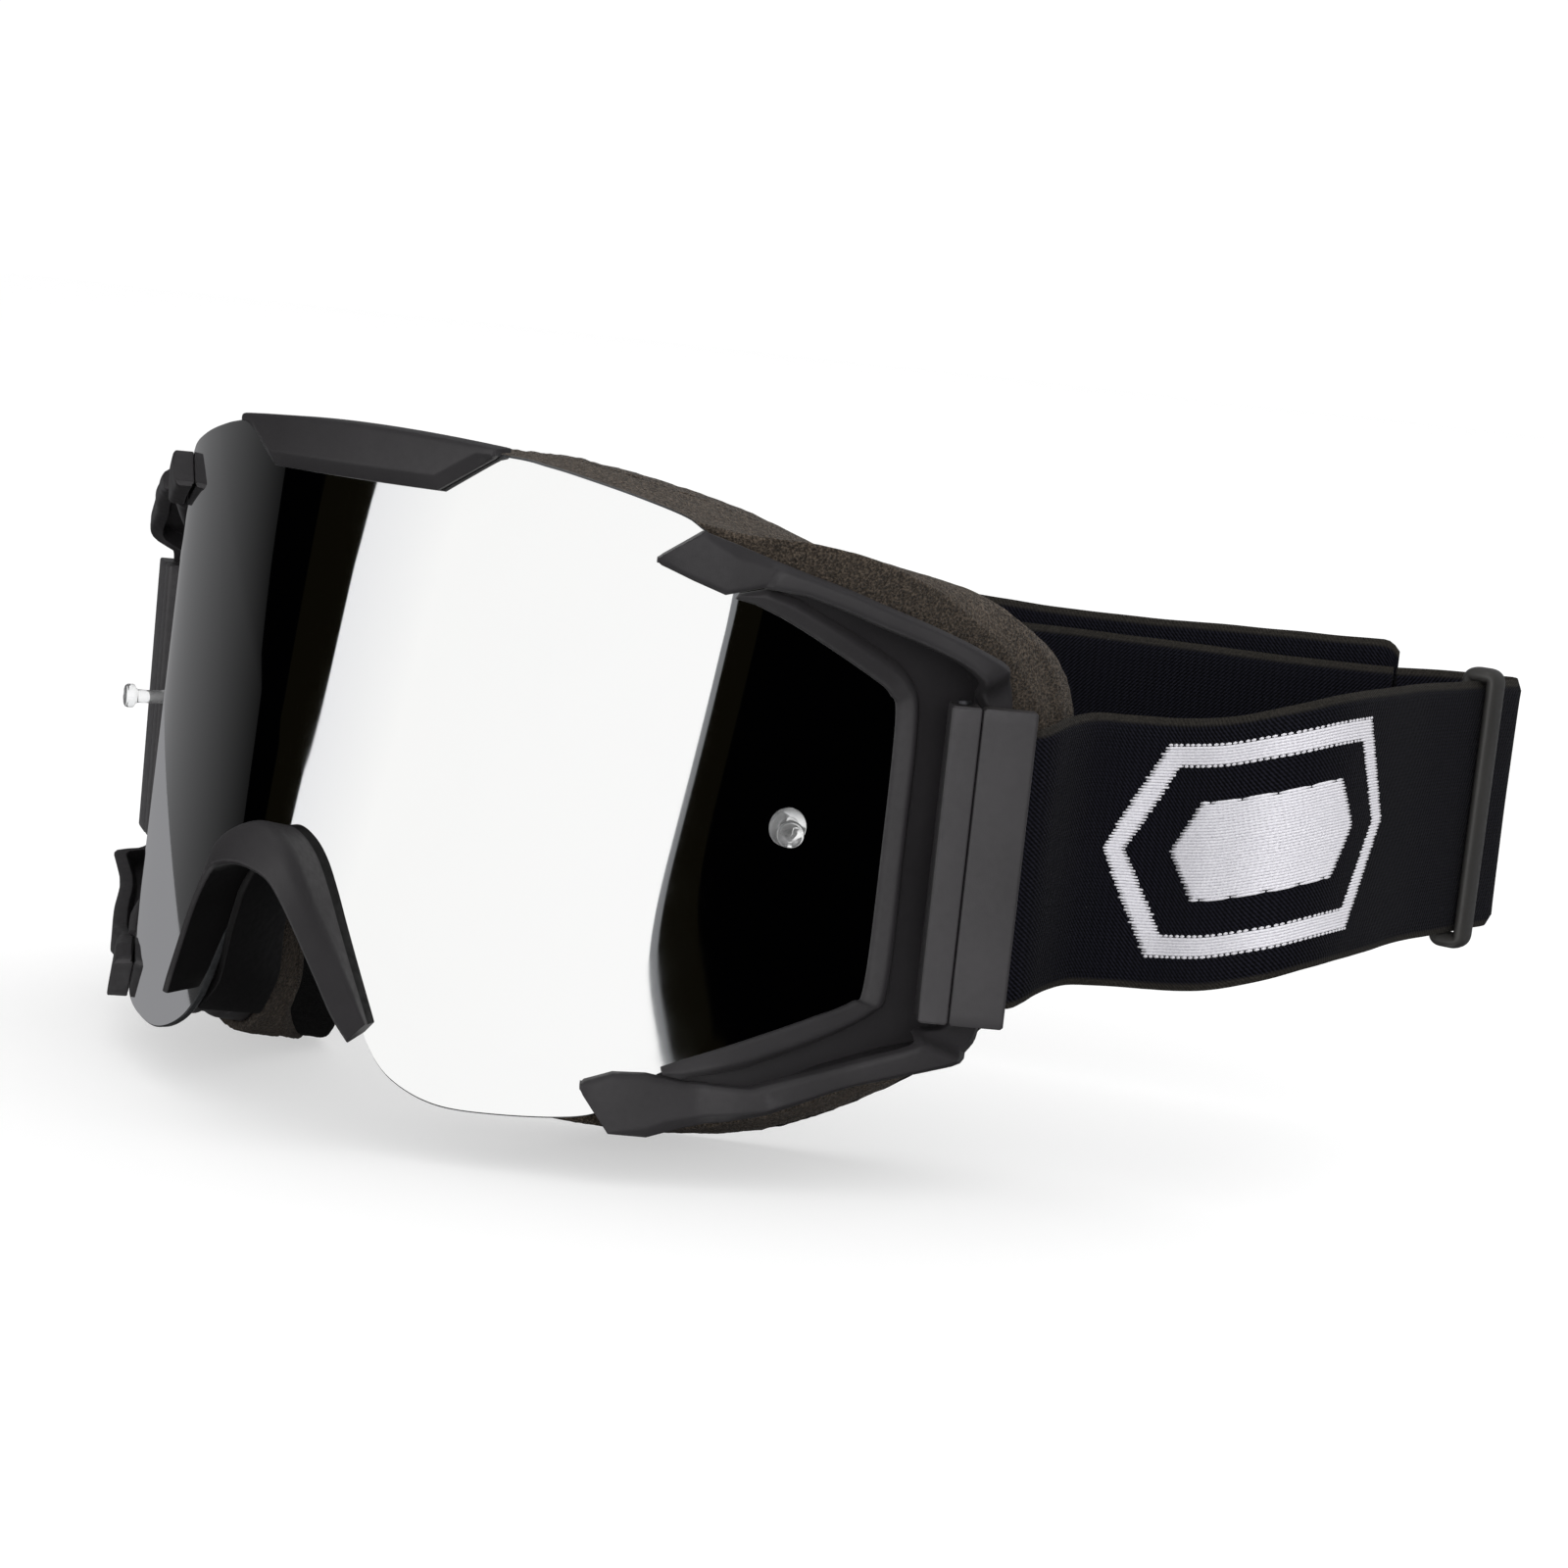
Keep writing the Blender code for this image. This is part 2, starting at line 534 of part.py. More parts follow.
def main():
    clear_scene()
    shell = finish("charcoal_plastic", (0.045, 0.044, 0.046), 0.55)
    plate = finish("clip_plastic", (0.075, 0.073, 0.075), 0.5)
    mirror = finish("mirror_lens", (0.55, 0.56, 0.58), 0.04, 1.0)
    clear = finish("clear_plastic", (0.8, 0.8, 0.8), 0.1)
    rubber = finish("black_rubber", (0.02, 0.02, 0.02), 0.7)
    metal = finish("steel_pin", (0.4, 0.4, 0.42), 0.35, 1.0)
    foam = finish("face_foam", (0.10, 0.085, 0.07), 0.95)
    fleece = finish("fleece", (0.012, 0.012, 0.013), 0.98)
    web = finish("elastic_webbing", (0.010, 0.010, 0.016), 0.9)

    lens(mirror)
    ring_layer("frame_shell", 0.0, FRAME_SHARE, shell)
    ring_layer("foam_base", FRAME_SHARE, BASE_SHARE, foam, outset=1.0, crown=1.2)
    ring_layer("foam_middle", BASE_SHARE, MID_SHARE, foam, outset=1.4)
    ring_layer("foam_fleece", MID_SHARE, 1.0, fleece, outset=1.0)
    brow_cover(shell)
    nose_arch(shell)
    nose_guard(rubber)
    for side, label in ((1, "left"), (-1, "right")):
        outrigger(side, label, shell)
        lens_rim(side, label, shell)
        tear_off_post(side, label, clear, rubber)
        hinge, moving = strap_clip(side, label, plate, metal)
        moving.append(strap_end(side, label, web))
        hang_on(hinge, moving)
    webbing("strap_left", LEFT_ROUTE, web)
    webbing("strap_right", RIGHT_ROUTE, web)
    webbing("strap_tail", TAIL_ROUTE, web)
    slider(shell)
    stand_on_origin()


main()
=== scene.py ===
"""The dressed motorcycle goggles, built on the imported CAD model.

Lengths are millimetres about the lens centre line, as in the CAD source, until place() carries
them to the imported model's frame in metres. The wearer looks along -Y and +X is the wearer's left.
"""
import json
from math import cos, hypot, pi, radians, sin, tan

import bmesh
import bpy
import numpy as np
from mathutils import Matrix, Vector, noise


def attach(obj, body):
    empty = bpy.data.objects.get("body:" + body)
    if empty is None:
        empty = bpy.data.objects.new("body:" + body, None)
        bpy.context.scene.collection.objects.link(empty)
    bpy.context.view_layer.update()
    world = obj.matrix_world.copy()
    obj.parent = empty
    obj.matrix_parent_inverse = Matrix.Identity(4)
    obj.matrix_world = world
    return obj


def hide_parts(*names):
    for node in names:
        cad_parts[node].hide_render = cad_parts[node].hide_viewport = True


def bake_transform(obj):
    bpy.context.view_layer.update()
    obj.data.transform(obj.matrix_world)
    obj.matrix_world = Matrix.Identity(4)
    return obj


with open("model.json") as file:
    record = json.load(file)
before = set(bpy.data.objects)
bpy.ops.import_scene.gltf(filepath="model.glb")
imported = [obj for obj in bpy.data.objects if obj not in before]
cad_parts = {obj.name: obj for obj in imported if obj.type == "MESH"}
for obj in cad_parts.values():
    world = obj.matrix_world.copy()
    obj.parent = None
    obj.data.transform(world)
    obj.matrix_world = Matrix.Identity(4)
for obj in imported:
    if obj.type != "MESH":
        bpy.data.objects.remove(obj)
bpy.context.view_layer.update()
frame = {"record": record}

MM = 0.001
GAP = 0.3                   # between neighbouring pieces
LENS_RADIUS = 77.6
WRAP_START = 90.0
LENS_FRONT = -60.0
LEAN_SIDE = 3.1
LEAN_MORE = 9.0
LENS_THICK = 1.5
STRAP_WIDTH = 45.0
STRAP_THICK = 1.8
POST_S, POST_Z = 79.5, -0.9
POST_WAY = 36.0             # degrees from straight ahead that the posts' stems point outward
CLIP_FRONT, CLIP_REAR = (85.0, -7.6), (96.2, 1.2)
CLIP_LOW, CLIP_HIGH = -30.2, 20.5
BAR_LENGTH, CLIP_LENGTH = 4.7, 13.7
BAR_DEEP, PLATE_DEEP = 6.9, 3.8
PIN_ALONG, PIN_DOWN, PIN_RADIUS = 2.35, 5.0, 1.1
# Shares of the ring's depth, from the lens to the face, at which its layers end.
FRAME_SHARE, GUARD_SHARE, BASE_SHARE, MID_SHARE = 0.45, 0.42, 0.72, 0.88

# Outlines on the lens are points of (distance round from the middle, height).
LENS_TOP = [(0, 52), (26, 52), (34, 51.2), (41, 49.9), (49, 48.1), (56.5, 46.0), (60, 44.1), (70, 38),
            (80, 32), (92, 26.8), (98.5, 21.5)]
LENS_BOTTOM = [(0, -12.6), (3.3, -13.4), (5.8, -15.6), (8.3, -19.4), (10.6, -24), (13.9, -30.4),
               (16.2, -36), (18.5, -41.2), (23, -45.9), (30.5, -48.9), (40, -49.3), (53, -48.4),
               (58, -46), (64, -41), (76, -36.2), (92, -30.9), (98.5, -28.2)]
# Stations round the face opening. Each has the distance and height of the outer and the inner edge on
# the lens, then the outer and the inner rear point.
RING = [
    (0, 49.4, 0, 43, 0, -28, 50, 0, -26, 38),
    (14, 49.6, 13, 43.3, 13, -26, 50, 12, -24, 38.3),
    (27, 49.3, 26, 43, 26, -20, 49.5, 24, -18, 38),
    (45, 45.2, 43, 39.2, 44, -6, 44.5, 40, -5, 34),
    (60, 41.2, 57, 35.8, 60, 7.5, 34.5, 54, 6, 25.5),
    (80, 36.5, 74, 31, 73.5, 19, 28.5, 65, 17, 20),
    (99, 30.5, 88, 25.5, 81, 27, 20.5, 71, 25, 13),
    (112, 22.5, 92, 18.5, 83, 31, 10, 72.5, 29, 6),
    (116, -4, 93, -4, 84, 33, -5, 73, 31, -5),
    (114, -32, 92, -26, 82, 30, -25, 72, 28, -18),
    (99, -38.5, 88, -31, 76.5, 23, -38, 68, 21, -28),
    (80, -44.5, 74, -36.5, 66, 12, -48, 59, 11, -37),
    (62, -47.5, 58, -40, 55, 3, -54.5, 50, 3, -42),
    (44, -47.5, 44, -40, 43, -5, -57, 41, -4, -44),
    (29, -45.5, 32, -38.5, 33, -11, -56, 36, -8, -44),
    (18.8, -38.5, 26, -32, 27, -15, -46, 33, -11, -38),
    (13, -26.5, 20, -19.5, 22, -19, -31, 28, -15, -25),
    (7.4, -16.2, 11, -7.5, 13, -23, -20, 17, -20, -11),
    (0, -12.9, 0, -4, 0, -25, -16.5, 0, -22, -5),
]
# Stations along a band on the lens: its outer edge and its inner edge, as distance and height.
OUTRIGGER = [
    (53.0, 39.4, 53.0, 38.5), (59.6, 44.0, 59.0, 36.3), (65.8, 42.3, 64.2, 34.6),
    (71.7, 40.5, 70.0, 36.2), (77.5, 38.8, 76.5, 35.6), (83.2, 37.2, 82.5, 33.8),
    (89.3, 35.1, 88.5, 31.7), (96.5, 32.7, 96.0, 29.2), (104.5, 29.6, 102.5, 26.3),
    (112.8, 25.4, 107.0, 22.4), (115.0, 18.0, 110.6, 16.0), (116.0, -4.0, 110.8, -4.0),
    (116.2, -23.0, 110.6, -23.0), (116.0, -30.0, 109.0, -31.0), (114.5, -35.5, 103.5, -32.3),
    (104.6, -37.9, 98.5, -34.2), (97.2, -39.7, 93.0, -36.0), (90.3, -41.6, 87.5, -38.0),
    (84.9, -44.0, 82.0, -39.8), (79.9, -46.2, 77.0, -41.6), (68.3, -48.8, 67.5, -41.5),
    (63.0, -50.4, 62.0, -40.5), (57.3, -49.9, 57.0, -40.6), (52.4, -43.3, 52.4, -42.3),
]
OUTRIGGER_CORNERS = (0, 1, 2, 3, 4, 19, 20, 21, 22, 23)
# How far the outrigger's face stands off the lens, by distance round, and how much more the far one does.
OUTRIGGER_RISE = [(0, 3.6), (66, 3.6), (72, 4.8), (80, 6.6), (86, 8.2), (92, 9.8), (98, 11.6), (104, 13.2),
                  (108, 13.6), (111, 12.4), (114, 9.0), (120, 8.5)]
FAR_MORE_TOP = (82, 92, 104, 112.8, 115), (0, 1, 2.6, 3.1, 5.2)
FAR_MORE_LOW = (63, 80, 97, 104.6, 110, 115), (0, 0.3, 1.2, 2.6, 3.6, 3.6)
RIM = [
    (66.8, 34.9, 66.2, 34.0), (71.4, 36.0, 69.6, 33.4), (76.4, 34.9, 74.4, 31.6),
    (81.6, 32.6, 80.3, 28.9), (93.0, 27.4, 91.5, 23.3), (98.6, 23.6, 95.6, 20.6),
    (101.2, 17.0, 97.2, 16.5), (101.4, -4.0, 97.4, -4.0), (101.3, -26.5, 97.0, -26.0),
    (98.6, -31.0, 94.8, -29.0), (90.0, -34.9, 88.0, -31.3), (76.6, -39.6, 79.0, -34.3),
    (67.5, -41.4, 67.0, -38.5), (64.6, -41.0, 64.2, -39.6),
]
RIM_CORNERS = (0, 1, 2, 10, 11, 12, 13)
# The nose arch: where its outer edge meets the lens, its tip and how far that stands off, and its root.
ARCH = [
    ((0, -9.6), (0, -15.3, 14.0), (0, -12.8)), ((3.6, -11.0), (2.9, -15.8, 13.9), (3.3, -13.6)),
    ((6.6, -13.9), (5.2, -17.1, 13.5), (5.8, -15.8)), ((9.3, -18.2), (7.4, -20.3, 12.7), (8.4, -19.5)),
    ((12.0, -23.3), (9.6, -24.3, 11.7), (10.7, -24.1)), ((15.6, -30.2), (12.9, -30.9, 10.0), (13.9, -30.6)),
    ((18.3, -35.4), (15.7, -36.4, 8.7), (16.2, -36.1)), ((19.4, -37.6), (18.2, -40.2, 7.4), (18.0, -39.4)),
]
# How proud of the frame the foam stands over the brow, by distance round.
FOAM_CROWN = [(0, 1.4), (27, 0.8), (45, 1.0), (60, 3.2), (72, 6.2), (84, 7.8), (99, 7.2), (112, 4.6),
              (120, 1.5)]
# A post's outline as (distance along, radius): its base square to the lens, then its stem and head.
POST_BASE = [(-3.9, 1.1), (-3.7, 1.3), (GAP, 1.3), (GAP, 2.9), (0.45, 3.1), (0.95, 3.1), (1.15, 2.9),
             (1.3, 1.9), (1.6, 1.45)]
POST_STEM = [(1.0, 1.2), (3.0, 1.15), (5.0, 1.2), (5.4, 1.5), (5.65, 1.95), (5.9, 2.1), (6.7, 2.1),
             (7.05, 2.0), (7.3, 1.7), (7.4, 1.2), (7.2, 0.7)]
# The strap's routes, as a place in plan and the height of the strap's middle there.
LEFT_ROUTE = [
    (94.1, 16.6, -2.9), (94.6, 22, -2.7), (97.5, 28, -2.9), (104, 31.5, -2.5), (114, 31, -0.7),
    (123, 33, 2.4), (127.3, 43, 4.6), (127, 60, 5.0), (124.8, 80, 4.8), (124.6, 97, 4.6), (124.6, 112, 4.4),
    (124.5, 119.4, 4.3), (122.3, 122.4, 4.3), (119.3, 121.2, 4.2), (112, 116.6, 4.1), (105, 110.9, 3.8),
]
RIGHT_ROUTE = [
    (104.5, 110.6, 3.8), (85, 103.5, 3.4), (60, 95.5, 3.4), (20, 80.5, 3.0), (-20, 63.5, 1.6),
    (-55, 50, -1.0), (-77, 44, -3.4), (-88.5, 38, -4.4), (-93.4, 30, -4.6), (-94.6, 22, -4.6),
    (-94.1, 16.6, -4.6),
]
TAIL_ROUTE = [
    (103.5, 114.6, 8.3), (97, 112.0, 8.1), (75, 104.2, 7.4), (52, 96.9, 6.6), (28, 88.0, 7.2),
    (5, 78.6, 10.0), (-15, 70.0, 12.5),
]
SLIDER_PLACE = (124.6, 104.0, 4.3)
BADGE_MIDDLE = 60.5         # distance along the left run from its sewn end
# The photograph's camera: angles in degrees, and how far it stands from the place that it looks at.
CAMERA_AZIMUTH, CAMERA_ELEVATION, CAMERA_ROLL = 33.966, 7.901, 6.080
CAMERA_DISTANCE, CAMERA_LENS = 574.58, 80.409375
CAMERA_TARGET = (49.797, 0, 1.836)


# ---- geometry

def lens_point(s, z, off=0.0):
    """The point a distance s round the lens at height z, raised off along the outward normal."""
    side = 1.0 if s >= 0 else -1.0
    arc = min(abs(s), WRAP_START)
    angle = arc / LENS_RADIUS
    past = abs(s) - arc
    lean = radians(LEAN_SIDE + LEAN_MORE * (cos(angle) - 0.7))
    x = LENS_RADIUS * sin(angle) + past * cos(angle) + off * sin(angle)
    y = LENS_FRONT + LENS_RADIUS * (1 - cos(angle)) + past * sin(angle) - off * cos(angle)
    y += z * tan(lean)
    return Vector((side * x, y, z))


def between(value, places, results):
    """A value read off a broken line through pairs of place and result."""
    return float(np.interp(value, places, results))


def turns(count):
    """Even angles round a circle."""
    return [2 * pi * k / count for k in range(count)]


def part_way(value, start, end):
    """How far a value has gone from start to end, kept between 0 and 1."""
    return max(0.0, min(1.0, (value - start) / (end - start)))


def side_normal(s):
    """The way the lens faces in plan at a distance round it."""
    angle = min(abs(s), WRAP_START) / LENS_RADIUS
    return Vector(((1.0 if s >= 0 else -1.0) * sin(angle), -cos(angle), 0.0))


def clip_point(side, along, down, z=0.0):
    """A point of a strap clip: a distance along its face from the front, and a depth below the face."""
    way = (Vector(CLIP_REAR) - Vector(CLIP_FRONT)).normalized()
    x = CLIP_FRONT[0] + along * way.x - down * way.y
    y = CLIP_FRONT[1] + along * way.y + down * way.x
    return Vector((side * x, y, z))


joint_at = {joint["name"]: Vector(joint["pos_m"]) for joint in frame["record"]["behaviour"]["joints"]
            if joint["type"] == "hinge"}
SHIFT = joint_at["clip_left_swing"] / MM - clip_point(1, PIN_ALONG, PIN_DOWN, 0.5 * (CLIP_LOW + CLIP_HIGH))


def place(point):
    """A point in millimetres about the lens centre line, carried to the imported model's frame."""
    return (Vector(point) + SHIFT) * MM


def spline(points, steps, closed=False):
    """Catmull-Rom curve through points of any dimension, with a number of steps in each span."""
    count = len(points)
    out = []
    for i in range(count if closed else count - 1):
        def at(k):
            return points[k % count] if closed else points[max(0, min(count - 1, k))]
        p0, p1, p2, p3 = at(i - 1), at(i), at(i + 1), at(i + 2)
        for j in range(steps):
            t = j / steps
            out.append(tuple(
                b + 0.5 * t * ((c - a) + t * (2 * a - 5 * b + 4 * c - d + t * (3 * b - a - 3 * c + d)))
                for a, b, c, d in zip(p0, p1, p2, p3)))
    if not closed:
        out.append(tuple(points[-1]))
    return out


def path_with_corners(points, corners, steps):
    """A smooth path that stays straight-sided where two neighbouring stations are both corners."""
    out = []
    stops = sorted(set(corners) | {0, len(points) - 1})
    for a, b in zip(stops, stops[1:]):
        out += spline(points[a:b + 1], steps)[:-1]
    return out + [tuple(points[-1])]


def distances(points):
    """How far along a route each of its points is."""
    gone = [0.0]
    for p, q in zip(points, points[1:]):
        gone.append(gone[-1] + (q - p).length)
    return gone


def table(points, steps=8):
    """A smooth curve of (distance, value) points, as arrays for height()."""
    dense = np.array(spline(points, steps), float)
    return dense[:, 0], dense[:, 1]


def height(curve, s):
    """A table's value at a distance round, the same on both sides."""
    return between(abs(s), *curve)


def fillet(points, radius, steps=3):
    """A closed polygon with each corner rounded off by a number of steps."""
    count = len(points)
    radii = radius if isinstance(radius, (list, tuple)) else [radius] * count
    out = []
    for k in range(count):
        here = Vector(points[k])
        before = Vector(points[k - 1]) - here
        after = Vector(points[(k + 1) % count]) - here
        cut = min(radii[k], 0.42 * before.length, 0.42 * after.length)
        first = here + before.normalized() * cut
        last = here + after.normalized() * cut
        for j in range(steps + 1):
            t = j / steps
            out.append(tuple(first * (1 - t) ** 2 + here * (2 * t * (1 - t)) + last * t * t))
    return out


def soften_ends(rings, radius):
    """Rounds the two ends of a lofted body."""
    out = [list(ring) for ring in rings]
    for end, inner in ((0, 1), (-1, -2)):
        ring = [Vector(p) for p in out[end]]
        centre = sum(ring, Vector()) / len(ring)
        other = [Vector(p) for p in out[inner]]
        way = sum(other, Vector()) / len(other) - centre
        reach = min(radius, 0.45 * way.length)
        way = way.normalized() * reach
        size = max((p - centre).length for p in ring)
        shrunk = [centre + (p - centre) * (1 - reach / size) for p in ring]
        moved = [p + way for p in ring]
        if end == 0:
            out[0:1] = [shrunk, moved]
        else:
            out[-1:] = [moved, shrunk]
    return out


def shown(name, data):
    """A new object in the scene."""
    made = bpy.data.objects.new(name, data)
    bpy.context.collection.objects.link(made)
    return made


def solid(name, verts, faces, material, uvs=None, sharp=None):
    """A smooth-shaded mesh object with its normals pointing outward."""
    mesh = bpy.data.meshes.new(name)
    mesh.from_pydata(verts, [], faces)
    if uvs:
        layer = mesh.uv_layers.new(name="weave")
        layer.data.foreach_set("uv", np.array(uvs, np.float32).ravel())
    bm = bmesh.new()
    bm.from_mesh(mesh)
    bmesh.ops.recalc_face_normals(bm, faces=bm.faces[:])
    bm.to_mesh(mesh)
    bm.free()
    mesh.shade_smooth()
    if sharp:
        mesh.set_sharp_from_angle(angle=radians(sharp))
    mesh.materials.append(material)
    return shown(name, mesh)


def loft(rings, cyclic=False, first=0):
    """The faces through closed rings, numbered from first, and each corner's place as (ring, point)."""
    rows, count = len(rings), len(rings[0])
    faces, spots = [], []
    for i in range(rows if cyclic else rows - 1):
        for j in range(count):
            corners = [(i, j), (i, j + 1), (i + 1, j + 1), (i + 1, j)]
            faces.append([first + (row % rows) * count + k % count for row, k in corners])
            spots += corners
    if not cyclic:
        for row, order in ((0, -1), (rows - 1, 1)):
            cap = range(count)[::order]
            faces.append([first + row * count + k for k in cap])
            spots += [(row, k) for k in cap]
    return faces, spots


def body(name, rings, material, cyclic=False, sharp=32, uv=None):
    """A closed body lofted through rings of points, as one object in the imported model's frame."""
    faces, spots = loft(rings, cyclic)
    uvs = [uv(i, j) for i, j in spots] if uv else None
    return solid(name, [place(p) for ring in rings for p in ring], faces, material, uvs, sharp)


def turned(name, profile, radius, centre, axis, material, sides):
    """A body turned about an axis from a closed loop of (radius, height) points with rounded corners."""
    axis = Vector(axis).normalized()
    across = axis.orthogonal().normalized()
    third = axis.cross(across)
    rings = []
    for turn in turns(sides):
        way = across * cos(turn) + third * sin(turn)
        rings.append([Vector(centre) + way * max(r, 0.01) + axis * h for r, h in fillet(profile, radius)])
    return body(name, rings, material, cyclic=True)


def wobble(point, size, seed):
    """Smooth noise from -1 to 1 at a point in millimetres, with features of a given size."""
    return noise.noise(Vector(point) / size + Vector((seed, seed * 1.7, -seed)))


# ---- materials

def scaled(tone, factor):
    """A tone made lighter or darker."""
    return [factor * c for c in tone]


class Look:
    """A material made of nodes: add() places a node, and the rest are short cuts."""

    def __init__(self, name, roughness, metallic=0.0, **constants):
        self.material = bpy.data.materials.new(name)
        self.material.use_nodes = True
        self.tree = self.material.node_tree
        self.shader = self.tree.nodes["Principled BSDF"]
        self.shader.inputs["Roughness"].default_value = roughness
        self.shader.inputs["Metallic"].default_value = metallic
        for key, value in constants.items():
            self.shader.inputs[key.replace("_", " ")].default_value = value
        self.coords = self.add("ShaderNodeTexCoord")

    def add(self, kind, **settings):
        node = self.tree.nodes.new(kind)
        for key, value in settings.items():
            setattr(node, key, value)
        return node

    def link(self, source, target):
        self.tree.links.new(source, target)

    def value(self, node, key, value):
        if hasattr(value, "is_linked"):
            self.link(value, node.inputs[key])
        else:
            node.inputs[key].default_value = value

    def math(self, operation, a, b=0.0):
        node = self.add("ShaderNodeMath", operation=operation)
        self.value(node, 0, a)
        self.value(node, 1, b)
        return node.outputs[0]

    def times(self, a, b):
        return self.math("MULTIPLY", a, b)

    def plus(self, a, b):
        return self.math("ADD", a, b)

    def wave(self, source, turn):
        return self.math("SINE", self.times(source, turn))

    def noise(self, scale, detail=3.0, rough=0.55, coords=None, distortion=0.0):
        node = self.add("ShaderNodeTexNoise")
        self.link(coords or self.coords.outputs["Object"], node.inputs["Vector"])
        node.inputs["Scale"].default_value = scale
        node.inputs["Detail"].default_value = detail
        node.inputs["Roughness"].default_value = rough
        node.inputs["Distortion"].default_value = distortion
        return node.outputs["Fac"]

    def cells(self, scale):
        node = self.add("ShaderNodeTexVoronoi")
        self.link(self.coords.outputs["Object"], node.inputs["Vector"])
        node.inputs["Scale"].default_value = scale
        return node.outputs["Distance"]

    def woven_coords(self):
        """The place along and across a piece of webbing, in millimetres."""
        split = self.add("ShaderNodeSeparateXYZ")
        self.link(self.coords.outputs["UV"], split.inputs[0])
        return split.outputs[0], split.outputs[1]

    def ramp(self, factor, low, high, to_low=0.0, to_high=1.0):
        node = self.add("ShaderNodeMapRange", clamp=True)
        self.link(factor, node.inputs["Value"])
        for key, item in zip(("From Min", "From Max", "To Min", "To Max"), (low, high, to_low, to_high)):
            node.inputs[key].default_value = item
        return node.outputs["Result"]

    def mix(self, factor, a, b):
        node = self.add("ShaderNodeMix", data_type="RGBA")
        self.value(node, 0, factor)
        for key, item in ((6, a), (7, b)):
            self.value(node, key, item if hasattr(item, "is_linked") else (*item, 1.0))
        return node.outputs[2]

    def colour(self, source):
        self.link(source, self.shader.inputs["Base Color"])

    def rough(self, source):
        self.link(source, self.shader.inputs["Roughness"])

    def bump(self, height_source, distance, strength):
        node = self.add("ShaderNodeBump")
        node.inputs["Strength"].default_value = strength
        node.inputs["Distance"].default_value = distance
        self.link(height_source, node.inputs["Height"])
        self.link(node.outputs["Normal"], self.shader.inputs["Normal"])


def moulded_plastic(name, tone, roughness, grain=0.00002, worn=0.35):
    """Soft-touch moulded plastic: fine grain, faint mottling and edges rubbed a little lighter."""
    look = Look(name, roughness)
    mottle = look.noise(55, 4)
    rub = look.noise(420, 5, 0.65)
    edge = look.add("ShaderNodeNewGeometry").outputs["Pointiness"]
    edge = look.ramp(edge, 0.52, 0.62)
    edge = look.times(edge, look.ramp(rub, 0.35, 0.7))
    edge = look.times(edge, worn)
    base = look.mix(look.ramp(mottle, 0.3, 0.7), scaled(tone, 0.88), scaled(tone, 1.12))
    look.colour(look.mix(edge, base, [2.4 * c + 0.01 for c in tone]))
    look.rough(look.ramp(look.noise(900, 3), 0.3, 0.7, roughness - 0.05, roughness + 0.06))
    fine = look.plus(look.noise(5200, 2), look.times(look.cells(3600), 0.6))
    look.bump(fine, grain, 0.55)
    return look.material


def mirror_coat():
    """Silver mirror coat on dark polycarbonate, with the faint smears and dust of a wiped lens."""
    look = Look("mirror_lens", 0.03, 1.0, Coat_Weight=0.25, Coat_Roughness=0.02, Coat_IOR=1.5)
    smear = look.ramp(look.noise(38, 5, 0.6, distortion=1.2), 0.45, 0.8)
    dust = look.ramp(look.cells(900), 0.0, 0.035, 1.0, 0.0)
    dust = look.times(dust, look.ramp(look.noise(130, 2), 0.6, 0.7))
    look.colour(look.mix(look.times(smear, 0.05), (0.86, 0.865, 0.87), (0.74, 0.75, 0.77)))
    look.rough(look.plus(look.ramp(smear, 0, 1, 0.025, 0.05), look.times(dust, 0.2)))
    return look.material


def lens_edge():
    """The cut edge of the smoke polycarbonate."""
    look = Look("lens_edge", 0.25)
    streaks = look.noise(700, 3)
    look.colour(look.mix(streaks, (0.018, 0.019, 0.02), (0.05, 0.052, 0.055)))
    look.bump(streaks, 0.00003, 0.5)
    return look.material


def foam(name, tone, pore, pore_size, fuzz):
    """Open-cell foam: dark pores between lighter walls, with a bloom of short fibres."""
    look = Look(name, 0.95, Sheen_Weight=fuzz, Sheen_Roughness=0.5, Specular_IOR_Level=0.08)
    cells = look.cells(1 / (pore_size * MM))
    pits = look.ramp(cells, 0.25, 0.6, 1.0, 0.0)
    speckle = look.noise(2600, 4, 0.75)
    patches = look.noise(160, 4)
    light = look.mix(look.ramp(speckle, 0.42, 0.62), scaled(tone, 0.4), scaled(tone, 2.3))
    dark = look.mix(look.ramp(patches, 0.35, 0.65), pore, scaled(tone, 0.7))
    look.colour(look.mix(look.times(pits, 0.65), light, dark))
    look.rough(look.ramp(speckle, 0.3, 0.7, 0.86, 1.0))
    grain = look.plus(look.times(pits, -0.8), look.times(speckle, 1.4))
    look.bump(grain, 0.00035, 0.9)
    return look.material


